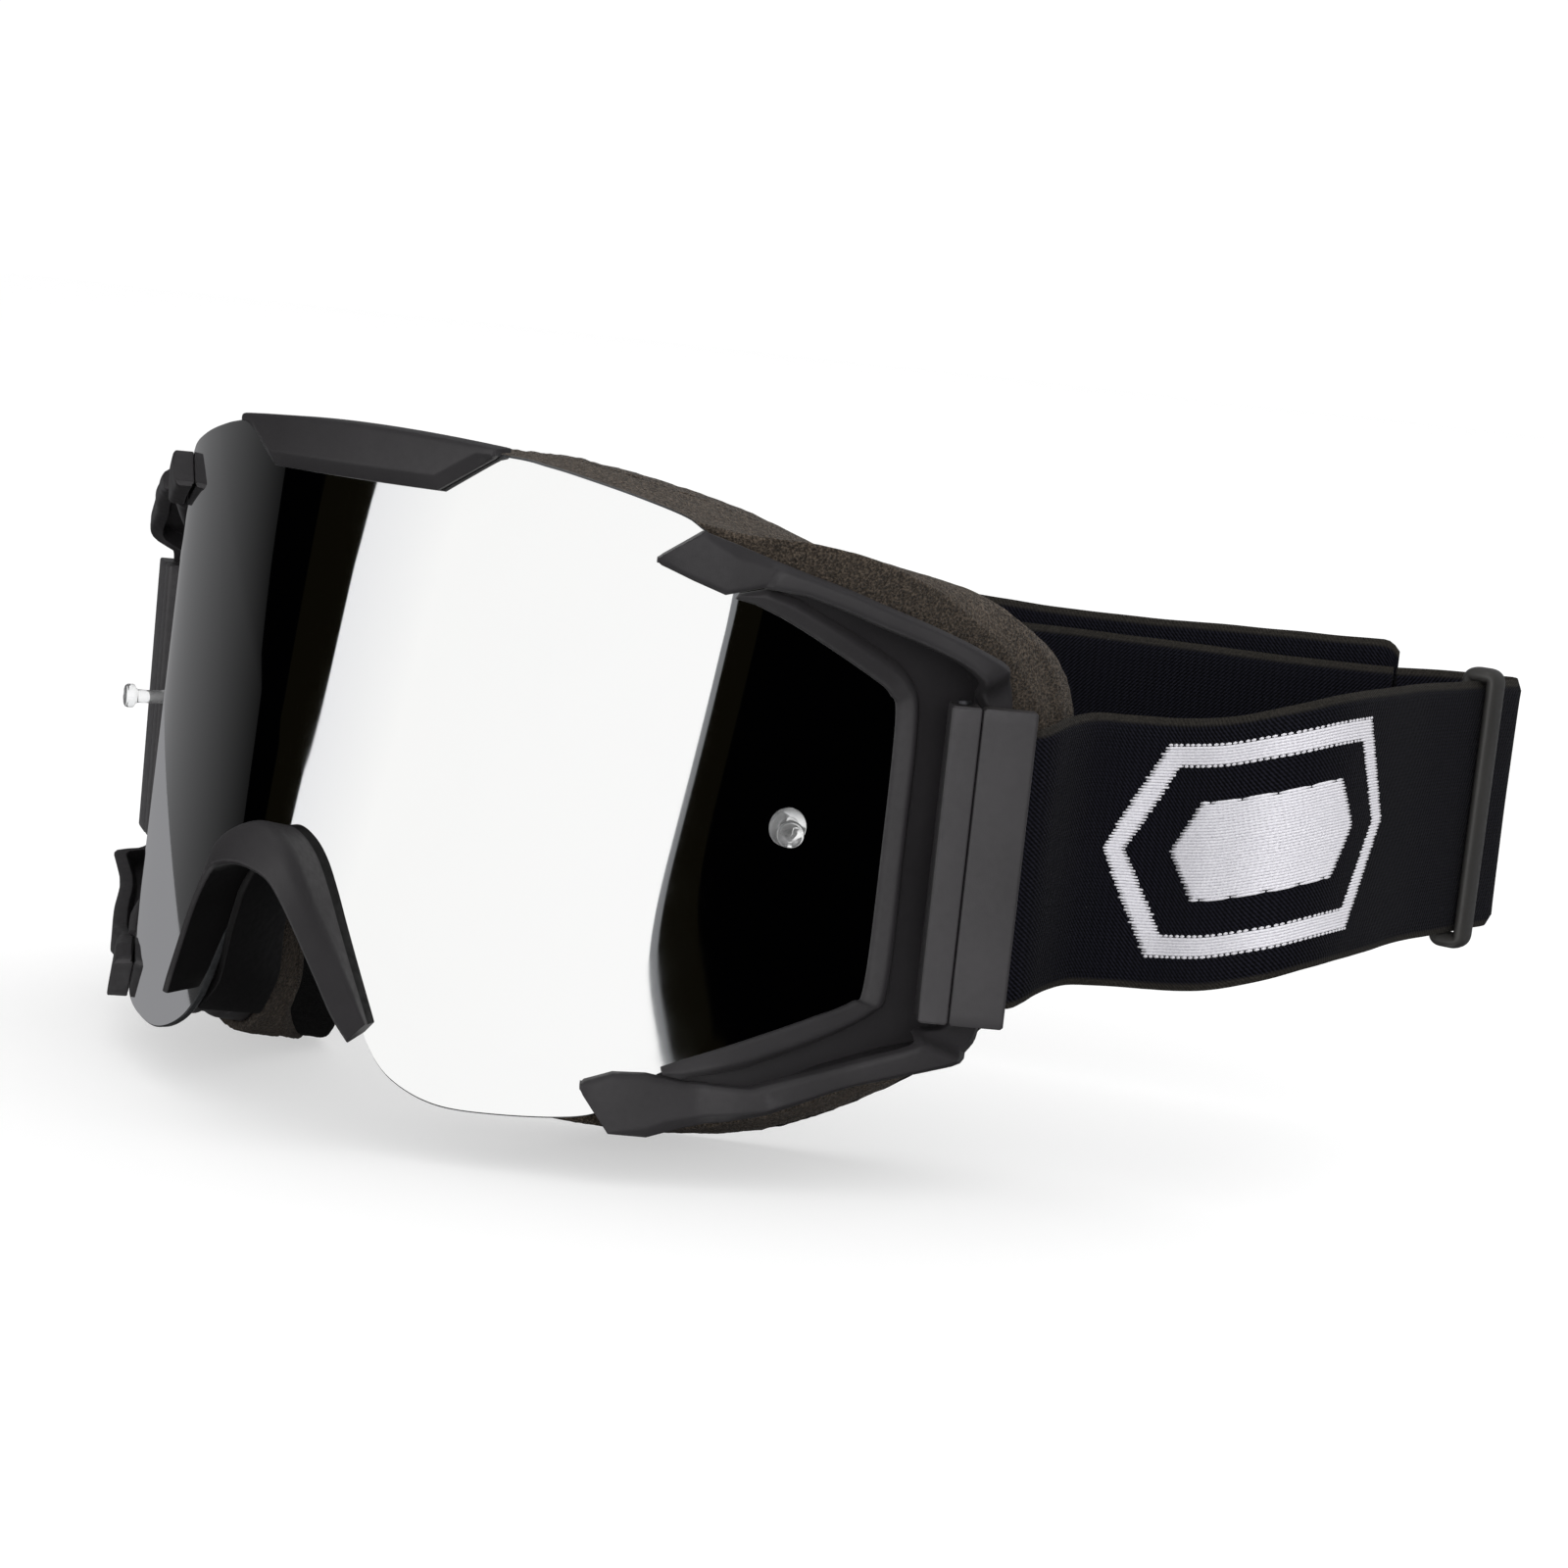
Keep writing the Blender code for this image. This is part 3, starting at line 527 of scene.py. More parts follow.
def woven(name, tone, edge_tone):
    """Elastic webbing: a fine twill over lengthwise ribs, lighter selvedges and specks of lint."""
    look = Look(name, 0.85, Sheen_Weight=0.02, Sheen_Roughness=0.4, Specular_IOR_Level=0.1)
    along, across = look.woven_coords()
    pitch, half_width = 0.72, STRAP_WIDTH / 2
    turn = 2 * pi / pitch
    twill = look.wave(look.plus(along, look.times(across, 0.9)), turn)
    ribs = look.wave(across, turn * 1.15)
    weft = look.wave(along, turn * 0.5)
    hairs = look.noise(3200, 4, 0.7)
    weave = look.plus(look.times(twill, 0.75), look.times(ribs, 0.25))
    weave = look.plus(weave, look.times(weft, 0.15))
    weave = look.plus(weave, look.times(hairs, 0.9))
    blotch = look.noise(70, 3)
    base = look.mix(look.ramp(weave, 0.0, 1.25), scaled(tone, 0.15), scaled(tone, 2.9))
    base = look.mix(look.ramp(blotch, 0.3, 0.7, 0.0, 0.35), base, scaled(tone, 1.3))
    selvedge = look.ramp(look.math("ABSOLUTE", across), half_width - 1.5, half_width - 0.9)
    rough_edge = look.ramp(hairs, 0.35, 0.65)
    rough_edge = look.mix(rough_edge, scaled(edge_tone, 0.6), scaled(edge_tone, 1.6))
    base = look.mix(selvedge, base, rough_edge)
    lint = look.ramp(look.cells(330), 0.0, 0.05, 1.0, 0.0)
    lint = look.times(lint, look.ramp(look.noise(60, 2), 0.56, 0.66, 0.0, 0.35))
    look.colour(look.mix(lint, base, (0.35, 0.35, 0.36)))
    look.rough(look.ramp(hairs, 0.3, 0.7, 0.74, 0.95))
    look.bump(weave, 0.00012, 0.7)
    return look.material


def thread_white(name):
    """Bright jacquard thread, slightly uneven."""
    look = Look(name, 0.8, Sheen_Weight=0.2, Sheen_Roughness=0.4)
    twist = look.wave(look.plus(*look.woven_coords()), 9.0)
    hairs = look.noise(3000, 4, 0.7)
    look.colour(look.mix(look.ramp(hairs, 0.3, 0.7), (0.62, 0.61, 0.66), (0.86, 0.85, 0.89)))
    look.rough(look.ramp(hairs, 0.3, 0.7, 0.7, 0.9))
    look.bump(look.plus(look.times(twist, 0.4), hairs), 0.00008, 0.7)
    return look.material


def clear_plastic():
    """Clear moulded plastic with a faint haze."""
    look = Look("clear_plastic", 0.06, Transmission_Weight=0.9, IOR=1.49)
    haze = look.noise(260, 3)
    look.colour(look.mix(look.ramp(haze, 0.3, 0.7), (0.86, 0.87, 0.88), (0.95, 0.95, 0.95)))
    look.rough(look.ramp(haze, 0.3, 0.7, 0.03, 0.12))
    look.bump(haze, 0.00002, 0.3)
    return look.material


def steel():
    """Dark drawn steel with fine lines along the pin."""
    look = Look("steel_pin", 0.3, 1.0)
    drawn = look.add("ShaderNodeMapping")
    look.link(look.coords.outputs["Object"], drawn.inputs["Vector"])
    drawn.inputs["Scale"].default_value = (1, 1, 0.03)
    lines = look.noise(5000, 3, coords=drawn.outputs[0])
    look.colour(look.mix(lines, (0.05, 0.05, 0.055), (0.10, 0.10, 0.11)))
    look.rough(look.ramp(lines, 0.3, 0.7, 0.4, 0.6))
    look.bump(lines, 0.00001, 0.4)
    return look.material


def soft_rubber(name, tone, roughness):
    """Matt black rubber, faintly mottled."""
    look = Look(name, roughness, Specular_IOR_Level=0.2)
    mottle = look.noise(90, 4)
    look.colour(look.mix(look.ramp(mottle, 0.3, 0.7), scaled(tone, 0.8), scaled(tone, 1.3)))
    look.rough(look.ramp(look.noise(700, 3), 0.3, 0.7, roughness - 0.07, roughness + 0.07))
    look.bump(look.noise(4200, 3), 0.00002, 0.5)
    return look.material


SHELL = moulded_plastic("charcoal_shell", (0.0245, 0.0228, 0.0248), 0.5)
PLATE = moulded_plastic("clip_plastic", (0.035, 0.033, 0.0355), 0.46)
BUCKLE = moulded_plastic("slider_plastic", (0.034, 0.033, 0.0315), 0.42, grain=0.00001)
MIRROR = mirror_coat()
EDGE = lens_edge()
CLEAR = clear_plastic()
STEEL = steel()
# Black rubber for the guard and the keepers, also used as painted shade on the nose arch's wall strip and
# back.
RUBBER_AND_PAINTED_SHADE = soft_rubber("guard_rubber_and_painted_shade", (0.0040, 0.0037, 0.0039), 0.55)
FOAM = foam("face_foam", (0.060, 0.047, 0.036), (0.008, 0.0065, 0.005), 0.6, 0.08)
FOAM_SOFT = foam("face_foam_soft", (0.056, 0.044, 0.034), (0.010, 0.008, 0.006), 0.45, 0.12)
FLEECE = foam("face_fleece", (0.0035, 0.0033, 0.0033), (0.001, 0.001, 0.001), 0.4, 0.02)
WEB = woven("strap_webbing", (0.0040, 0.0040, 0.0064), (0.020, 0.018, 0.0155))
WHITE = thread_white("badge_thread")


# ---- lens, frame and foam

top_curve, bottom_curve = table(LENS_TOP), table(LENS_BOTTOM)
rise_curve, crown_curve = table(OUTRIGGER_RISE), table(FOAM_CROWN)


def make_lens():
    """The lens: a smooth mirror front and back between cut edges with a small chamfer."""
    edge, columns, rows, chamfer = LENS_TOP[-1][0], 236, 30, 0.25
    rings = []
    for i in range(columns + 1):
        s = edge * (2 * i / columns - 1)
        low, high = height(bottom_curve, s), height(top_curve, s)
        inside = [low + chamfer + (high - low - 2 * chamfer) * j / rows for j in range(rows + 1)]
        ring = [lens_point(s, z, 0) for z in inside]
        ring += [lens_point(s, high, -chamfer), lens_point(s, high, chamfer - LENS_THICK)]
        ring += [lens_point(s, z, -LENS_THICK) for z in reversed(inside)]
        ring += [lens_point(s, low, chamfer - LENS_THICK), lens_point(s, low, -chamfer)]
        rings.append(ring)
    made = body("mirror_lens", rings, MIRROR, sharp=25)
    made.data.materials.append(EDGE)
    count = len(rings[0])
    edges = set(range(rows, rows + 3)) | set(range(count - 3, count))
    for face in made.data.polygons:
        column = face.index % count
        if face.index >= columns * count or column in edges:
            face.material_index = 1
    return made


def ring_stations(steps):
    """The whole ring round the face opening as smooth stations."""
    flip = (-1, 1, -1, 1, -1, 1, 1, -1, 1, 1)
    other = [tuple(a * b for a, b in zip(station, flip)) for station in RING[1:-1]]
    return spline(RING + other[::-1], steps, closed=True)


def nose_share(station, share):
    """A layer boundary's share of the ring's depth. By the nose the layers crowd toward the lens."""
    near = part_way(abs(station[0]), 34, 22) if station[1] < 0 else 0.0
    front = between(station[1], (-36, -20), (0.42, 0.27))
    moved = np.interp(share, (0, GUARD_SHARE, FRAME_SHARE, BASE_SHARE, MID_SHARE, 1),
                      (0, front, front + 0.02, front + 0.19, front + 0.21, 1))
    return share + near * (float(moved) - share)


def ring_corner(station, share, inner):
    """The outer or inner edge of the ring at a share of its depth."""
    s, z = station[2:4] if inner else station[0:2]
    front = lens_point(s, z, -LENS_THICK - GAP)
    rear = Vector(station[7:10] if inner else station[4:7])
    return front.lerp(rear, share)


def make_frame():
    """The frame ring: rounded corners and a shallow groove round its outer wall."""
    rings = []
    for station in ring_stations(8):
        deep = nose_share(station, FRAME_SHARE)
        a, b, c, d = (ring_corner(station, share, inner)
                      for share, inner in ((0, False), (deep, False), (deep, True), (0, True)))
        inward = (d - a).normalized()
        groove = [a.lerp(b, share) + inward * cut
                  for share, cut in ((0.34, 0), (0.40, 0.7), (0.62, 0.7), (0.68, 0))]
        rings.append(fillet([a, *groove, b, c, d], [0.6, 0.3, 0.3, 0.3, 0.3, 0.5, 0.5, 0.6], 2))
    return body("frame_body", rings, SHELL, cyclic=True)


def evened(ring, count):
    """A closed ring of points with a number of even steps."""
    wrapped = ring + ring[:1]
    gone, columns = distances(wrapped), np.array(wrapped)
    return [Vector([between(gone[-1] * k / count, gone, columns[:, axis]) for axis in range(3)])
            for k in range(count)]


def napped(ring, nap, seed):
    """A ring of points with the soft waves and the raised fibres of foam."""
    middle = sum(ring, Vector()) / len(ring)
    out = []
    for p in ring:
        lift = 0.2 * wobble(p, 5.0, seed) - 0.12
        lift += nap * (wobble(p, 1.3, seed + 3) + 0.7 * wobble(p, 0.7, seed))
        out.append(p + (p - middle).normalized() * lift)
    return out


def make_foam(name, material, start, end, outset, crown, lap, under, soft_rear, nap, seed):
    """A foam layer: rounded corners, a soft wavy surface and a nap of raised fibres.

    It stands proud of the frame by outset, by crown times FOAM_CROWN more over the brow and by
    under more below. With lap at 1 it reaches forward over the frame's outer wall at the brow.
    """
    rings = []
    for station in ring_stations(20):
        forward = part_way(station[1], 22, 30) * lap
        proud = outset + crown * height(crown_curve, station[0]) * part_way(station[1], -6, 18)
        proud += part_way(station[1], -36, -44) * under
        depth = (ring_corner(station, 1, False) - ring_corner(station, 0, False)).length
        lead = nose_share(station, start) + GAP / depth
        rear = nose_share(station, end)
        front = lead - 0.02 - (lead - 0.1) * forward
        inward = (ring_corner(station, lead, True) - ring_corner(station, lead, False)).normalized()
        corners = [ring_corner(station, front, False) - inward * proud,
                   ring_corner(station, rear, False) - inward * proud,
                   ring_corner(station, rear, True), ring_corner(station, lead, True),
                   ring_corner(station, lead, False) - inward * 0.25,
                   ring_corner(station, front, False) - inward * 0.25]
        outline = fillet(corners, [0.9, soft_rear, 0.5 * soft_rear, 0.4, 0.05, 0.05], 6)
        ring = []
        for p, q in zip(outline, outline[1:] + outline[:1]):
            p, q = Vector(p), Vector(q)
            parts = 12 if (q - p).length > 2.5 else 1
            ring += [p.lerp(q, k / parts) for k in range(parts)]
        rings.append(ring)
    count = max(len(ring) for ring in rings) + 12
    rings = [napped(evened(ring, count), nap, seed) for ring in rings]
    made = body(name, rings, material, cyclic=True, sharp=180)
    return made


def make_brow():
    """The cover over the top middle of the lens: a bevelled lower edge and a lip over the lens."""
    half_width, lower_half, lower_z, slope = 26.0, 16.7, 45.5, 0.68
    crest, crest_fall, face, back = 54.1, 1.1, 3.3, -4.2
    lens_top = LENS_TOP[0][1] + GAP
    stops = [-half_width, -lower_half, lower_half, half_width]
    positions = []
    for a, b in zip(stops, stops[1:]):
        positions += [a + (b - a) * k / 12 for k in range(12)]
    rings = []
    for s in positions + [half_width]:
        top = crest - crest_fall * (s / half_width) ** 2
        low = lower_z + slope * max(0.0, abs(s) - lower_half)
        near = min(low + 2.4, top - 1.2)
        outline = [(low, GAP), (low, 1.7), (near, face), (top, face), (top, back), (lens_top, back),
                   (lens_top, GAP)]
        rounded = fillet(outline, [0.15, 0.3, 0.35, 0.8, 0.4, 0.3, 0.15], 3)
        rings.append([lens_point(s, z, off) for z, off in rounded])
    return body("brow_cover_shell", soften_ends(rings, 0.35), SHELL)


def band(name, stations, section, radii, side):
    """A band on the lens. Each station gives the outer and inner edge as (distance, height)."""
    rings = []
    for so, zo, si, zi in stations:
        width = hypot(so - si, zo - zi)
        ring = []
        for across, off in fillet(section(so, zo, width), radii, 5):
            share = across / width
            ring.append(lens_point(side * (si + (so - si) * share), zi + (zo - zi) * share, off))
        rings.append(ring)
    return body(name, soften_ends(rings, 0.3), SHELL, sharp=44)


def make_outrigger(side, label):
    """The C-shaped outrigger: a flat face, a bevel that falls to its outer wall, and a skirt."""
    def section(so, zo, width):
        high = height(rise_curve, so)
        if side < 0:
            high += part_way(zo, 13, 15) * between(so, *FAR_MORE_TOP)
            high += part_way(zo, -30.6, -32.6) * between(so, *FAR_MORE_LOW)
        foot = between(so, (65, 71), (0.05, 0.1 - LENS_THICK))
        wall = min(2.0, 0.5 * width)
        bevel = between(so, (57, 66), (0.02, 0.27)) * width
        drop = between(so, (57, 66, 80), (0.1, 1.1, 2.2))
        return [(0, high - 3.2), (0, high - 0.5), (width - bevel, high), (width, high - drop),
                (width, foot), (width - wall, foot), (width - wall, high - 3.2)]

    made = band("outrigger_shell_" + label, path_with_corners(OUTRIGGER, OUTRIGGER_CORNERS, 6), section,
                [0.3, 1.2, 0.5, 0.7, 0.3, 0.3, 0.3], side)
    made.visible_glossy = side < 0      # the photograph's lens mirrors the far side's parts only
    return made


def make_rim(side, label):
    """The raised band that holds each side of the lens: a crisp inner edge and a face that rolls off."""
    def section(so, zo, width):
        low = between(so, (66, 72), (0.6, 1))
        return [(0, 0.05), (0, 0.7 * low), (0.1 * width, 1.3 * low), (0.62 * width, 2.6 * low),
                (width, 0.9 * low), (width, 0.05)]

    made = band("lens_rim_shell_" + label, path_with_corners(RIM, RIM_CORNERS, 8), section,
                [0.1, 0.3, 0.4, 1.6, 0.3, 0.1], side)
    made.visible_glossy = False
    return made


def make_arch():
    """The nose arch: a low wall on the lens, a rounded shoulder, a face sloping to a tip, and a back; the
    wall's lower strip and the back are painted shade in black rubber.
    """
    half = [(*outer, *tip, *root) for outer, tip, root in ARCH]
    other = [(-a, b, -c, d, e, -f, g) for a, b, c, d, e, f, g in half[1:]]
    rings = []
    for so, zo, st, zt, off, sr, zr in spline(other[::-1] + half, 10):
        rise = between(zo, (-34, -14), (0.5, 0.78))
        outer, tip = lens_point(so, zo, rise * off), lens_point(st, zt, off)
        away = (lens_point(so, zo, off) - tip).normalized()
        shoulder = outer + away * between(zo, (-20, -13), (0.2, 1.7))
        up = (shoulder - tip).normalized()
        behind = (lens_point(st, zt, off - 1) - tip).normalized()
        section = [lens_point(so, zo, 0.05), lens_point(so, zo, 2.6), shoulder, tip + up * 0.8,
                   tip + behind * 1.4, lens_point(sr, zr, 0.05)]
        rings.append(fillet(section, [0.1, 0.5, 3.4, 0.9, 0.6, 0.1], 8))
    made = body("nose_arch_shell", soften_ends(rings, 0.7), SHELL, sharp=44)
    # Painted shade: the faces of the wall's lower strip and of the back take the black rubber material.
    made.data.materials.append(RUBBER_AND_PAINTED_SHADE)
    count = len(rings[0])
    for face in made.data.polygons:
        places = [index % count for index in face.vertices]
        if len(places) == 4 and (max(places) < 0.23 * count or min(places) > 0.76 * count):
            face.material_index = 1
    made.visible_glossy = False
    return made


def make_guard():
    """The thin insert that lines the nose notch of the frame."""
    steps = 8
    stations = ring_stations(steps)
    count = len(stations)
    middle = steps * (len(RING) - 1)
    reach = 3.5 * steps
    below_notch = Vector((0, 0, -60))
    rings = []
    for k in range(int(middle - reach), int(middle + reach) + 1):
        here, ahead, behind = (stations[(k + step) % count] for step in (0, 1, -1))
        corners = []
        deep = nose_share(here, GUARD_SHARE)
        lip = between(here[1], (-38, -22), (0.02, -0.11))
        for share, rise in ((lip, GAP), (deep, GAP), (deep, GAP + 1.4), (lip, GAP + 1.4)):
            spot = ring_corner(here, share, False)
            along = ring_corner(ahead, share, False) - ring_corner(behind, share, False)
            away = Vector((along.z, 0, -along.x)).normalized()
            away = away if away.dot(below_notch - spot) > 0 else -away
            corners.append(spot + away * rise)
        rings.append(fillet(corners, 0.5, 3))
    return body("nose_guard_skin", soften_ends(rings, 0.4), RUBBER_AND_PAINTED_SHADE)


def make_post(side, label):
    """A clear post with a flange on the lens and a stem that points outward; and its retainer."""
    foot = lens_point(side * POST_S, POST_Z)
    normal = side_normal(side * POST_S)
    way = Vector((side * sin(radians(POST_WAY)), -cos(radians(POST_WAY)), 0))
    stack = [(foot, normal, *point) for point in POST_BASE]
    stack += [(foot + normal * 1.5, way, *point) for point in POST_STEM]
    rings = []
    for centre, axis, along, radius in stack:
        across = Vector((0, 0, 1)).cross(axis)
        rings.append([centre + axis * along + (across * cos(turn) + Vector((0, 0, sin(turn)))) * radius
                      for turn in turns(40)])
    post = body("post_" + label, rings, CLEAR, sharp=50)
    post.visible_glossy = False
    ring = [(1.6, -3.5), (3.3, -3.5), (3.3, -LENS_THICK - GAP), (1.6, -LENS_THICK - GAP)]
    keeper = turned("keeper_" + label, ring, 0.4, foot, normal, RUBBER_AND_PAINTED_SHADE, 40)
    return post, keeper


# ---- strap clips

def bake(made):
    """Applies an object's modifiers to its mesh."""
    bpy.context.view_layer.update()
    graph = bpy.context.evaluated_depsgraph_get()
    mesh = bpy.data.meshes.new_from_object(made.evaluated_get(graph))
    made.modifiers.clear()
    made.data = mesh


def make_clip(side, label):
    """A strap clip: a hinge bar bored for its pin, the pin, and a plate with a channel for the strap end."""
    pin_at = clip_point(side, PIN_ALONG, PIN_DOWN)
    corners = [(0, BAR_DEEP), (BAR_LENGTH, BAR_DEEP), (BAR_LENGTH, 0), (0, 0)]
    outline = fillet(corners, [0.6, 0.6, 0.3, 0.7], 4)
    spots = [CLIP_LOW, CLIP_LOW + 4, 0, CLIP_HIGH - 4, CLIP_HIGH]
    rings = [[clip_point(side, along, down, z) for along, down in outline] for z in spots]
    bar = body("hinge_bar_" + label, soften_ends(rings, 0.35), PLATE)
    bore = [Vector((cos(turn), sin(turn), 0)) * (PIN_RADIUS + 0.25) + pin_at for turn in turns(32)]
    drill = body("drill", [[p + Vector((0, 0, z)) for p in bore] for z in (-40, 40)], PLATE)
    hole = bar.modifiers.new("bore", "BOOLEAN")
    hole.operation = "DIFFERENCE"
    hole.object = drill
    bake(bar)
    bpy.data.objects.remove(drill, do_unlink=True)

    wall, roof, draft = 2.3, 1.7, 0.3
    near, far = BAR_LENGTH + GAP, CLIP_LENGTH
    low_wall, high_wall = CLIP_LOW + wall, CLIP_HIGH - wall
    heights = [CLIP_LOW, low_wall - draft, low_wall + draft, -5, high_wall - draft, high_wall + draft,
               CLIP_HIGH]
    rings = []
    for z in heights:
        deep = roof if low_wall < z < high_wall else PLATE_DEEP
        section = fillet([(near, deep), (near, 0), (far, 0), (far, deep)], [0.3, 0.35, 0.6, 0.3], 4)
        rings.append([clip_point(side, along, down, z) for along, down in section])
    plate = body("clip_plate_shell_" + label, soften_ends(rings, 0.35), PLATE)

    foot, head = CLIP_LOW - 0.8, CLIP_HIGH + 0.6
    profile = [(0, foot), (PIN_RADIUS, foot), (PIN_RADIUS, head), (0, head)]
    pin = turned("hinge_pin_" + label, profile, 0.35, pin_at, (0, 0, 1), STEEL, 32)
    bar.visible_glossy = plate.visible_glossy = side < 0
    return bar, plate, pin


# ---- strap

def webbing_frames(route):
    """Frames about 1 mm apart along a strap's plan route: distance, centre, and the way it faces."""
    dense = [Vector(p) for p in spline(route, 24)]
    gone = distances(dense)
    total = gone[-1]
    count = round(total)
    columns = np.array(dense)

    def spot(at):
        return Vector([between(max(0, min(total, at)), gone, columns[:, axis]) for axis in range(3)])

    frames = []
    for k in range(count + 1):
        at = total * k / count
        ahead = spot(at + 0.7) - spot(at - 0.7)
        along = Vector((ahead.x, ahead.y, 0)).normalized()
        frames.append((at, spot(at), Vector((along.y, -along.x, 0))))
    return frames


def webbing(name, route, seed, end_cut=0.0):
    """A strip of webbing on edge: plump rounded selvedges and a slight wave along its length."""
    half, across = STRAP_WIDTH / 2, 22
    frames = webbing_frames(route)
    total = frames[-1][0]
    rings, marks = [], []
    for at, here, face in frames:
        drop = end_cut * max(0.0, 1 - (total - at) / 3.0) ** 2
        ring, mark = [], []
        for way in (1, -1):
            for j in range(across + 1):
                v = (2 * j / across - 1) * way
                edge = max(0.0, (abs(v) - 0.955) / 0.045)
                thick = 0.5 * STRAP_THICK * (1 - edge ** 2) ** 0.5 if edge < 1 else 0.05
                thick *= 1 - 0.08 * (1 - abs(v)) + 0.05 * (abs(v) > 0.9)
                ripple = 0.14 * wobble((at, v * half, 0), 16.0, seed)
                rim = 0.12 * wobble((at, way, v), 9.0, seed + 5) * abs(v)
                z = v * (half - drop) + rim
                ring.append(here + face * (way * thick + ripple) + Vector((0, 0, z)))
                mark.append((at, v * half))
        rings.append(ring)
        marks.append(mark)
    count = len(rings[0])

    def uv(i, j):
        return marks[i][j % count]

    return body(name, rings, WEB, uv=uv, sharp=50), frames


def clip_route(side):
    """The sewn strap end, from inside the clip's channel to the free strap."""
    inside, mouth = clip_point(side, 6.5, 2.75), clip_point(side, CLIP_LENGTH, 2.75)
    lift = 1.3 if side > 0 else 0.0
    return [(inside.x, inside.y, -4.8), (mouth.x, mouth.y, -4.8), (side * 95.2, 6.5, -4.7 + 0.5 * lift),
            (side * 94.6, 11.5, -4.6 + lift)]


def on_strap(frames, at, height_mm, lift):
    """A point over a strap's face, a distance along it and a height from its middle."""
    k = int(at / frames[1][0])
    a, b = frames[k], frames[k + 1]
    t = (at - a[0]) / (b[0] - a[0])
    face = a[2].lerp(b[2], t).normalized()
    return a[1].lerp(b[1], t) + face * lift + Vector((0, 0, height_mm))


def float_thread(frames, start, end, v):
    """One floating thread along the strap, as rings of a flattened section."""
    half_high, half_thick, lift = 0.27, 0.16, 0.5 * STRAP_THICK + 0.04
    count = max(2, round((end - start) / 1.2))
    rings = []
    for k in range(count + 1):
        at = start + (end - start) * k / count
        ease = 0.45 if k in (0, count) else 1.0
        ring = []
        for angle in (0, 60, 120, 180, 240, 300):
            up = half_high * ease * cos(radians(angle))
            out = half_thick * ease * sin(radians(angle))
            ring.append(on_strap(frames, at, v + up, lift + out))
        rings.append(ring)
    return rings


def threads(name, groups, material):
    """Many small closed threads as one object."""
    verts, faces, uvs = [], [], []
    for rings in groups:
        more, spots = loft(rings, first=len(verts))
        verts += [place(p) for ring in rings for p in ring]
        faces += more
        uvs += [(i, j / len(rings[0])) for i, j in spots]
    return solid(name, verts, faces, material, uvs)


def inside_polygon(x, y, outline):
    """Whether a point lies inside a closed outline."""
    hit = False
    for (x0, y0), (x1, y1) in zip(outline, outline[1:] + outline[:1]):
        if (y0 > y) != (y1 > y) and x < x0 + (x1 - x0) * (y - y0) / (y1 - y0):
            hit = not hit
    return hit


def badge_shape(u, v):
    """A plain woven emblem: an elongated hexagon ring round a solid hexagon, with toothed edges."""
    v += 0.22 * (abs(u % 1.1 - 0.55) / 0.275 - 1) * (1 if v > 0 else -1)

    def inside(half_long, half_high, nose):
        flat = half_long - nose
        return inside_polygon(u, v, [(-half_long, 0), (-flat, half_high), (flat, half_high), (half_long, 0),
                                     (flat, -half_high), (-flat, -half_high)])

    return inside(30.5, 17.6, 10) and not inside(26, 13.9, 8.2) or inside(18, 8.2, 5.2)


def make_badge(frames, middle):
    """The emblem woven into the strap, built as rows of floating threads."""
    pitch, cell = 0.5, 0.25
    rows = []
    count = int(18 / pitch)
    for row in range(-count, count + 1):
        v = row * pitch
        jitter = 0.12 if row % 2 else -0.12
        run = None
        for k in range(int(-32 / cell), int(32 / cell) + 1):
            u = k * cell
            woven_here = badge_shape(u, v)
            if woven_here and run is None:
                run = u
            if not woven_here and run is not None:
                if u - run > 0.45:
                    rows.append((run + jitter, u + jitter, v))
                run = None
    groups = [float_thread(frames, middle + a, middle + b, v + 0.6) for a, b, v in rows]
    return threads("woven_badge", groups, WHITE)


def make_slider():
    """The adjuster: a loop of rounded bars, with fuller bars at its two ends."""
    middle = Vector(SLIDER_PLACE)
    inner, outer, half_high = -2.1, 2.5, 23.7
    corners = [(inner, -half_high), (outer, -half_high), (outer, half_high), (inner, half_high)]
    centre_line = fillet(corners, [1.2, 1.4, 1.4, 1.2], 8)
    rings = []
    count = len(centre_line)
    for k in range(count):
        x, z = centre_line[k]
        x2, z2 = centre_line[(k + 1) % count]
        x0, z0 = centre_line[k - 1]
        along = Vector((x2 - x0, 0, z2 - z0)).normalized()
        out = Vector((along.z, 0, -along.x))
        upright = abs(along.z)
        thick = 1.2 * upright + 1.35 * (1 - upright)
        broad = 2.8 * upright + 3.1 * (1 - upright)
        ring = []
        for turn in turns(24):
            wide = broad * abs(cos(turn)) ** 0.85 * (1 if cos(turn) >= 0 else -1)
            deep = thick * abs(sin(turn)) ** 0.9 * (1 if sin(turn) >= 0 else -1)
            ring.append(middle + Vector((x, 0, z)) + Vector((0, wide, 0)) + out * deep)
        rings.append(ring)
    return body("slider_buckle", rings, BUCKLE, cyclic=True, sharp=60)


# ---- assemble

def settle(made, rides_on, slot, *nodes):
    """A finished piece: the body it rides on, its material slot (not used) and the CAD nodes it stands for.
    """
    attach(made, rides_on)
    if nodes:
        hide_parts(*nodes)
    return made


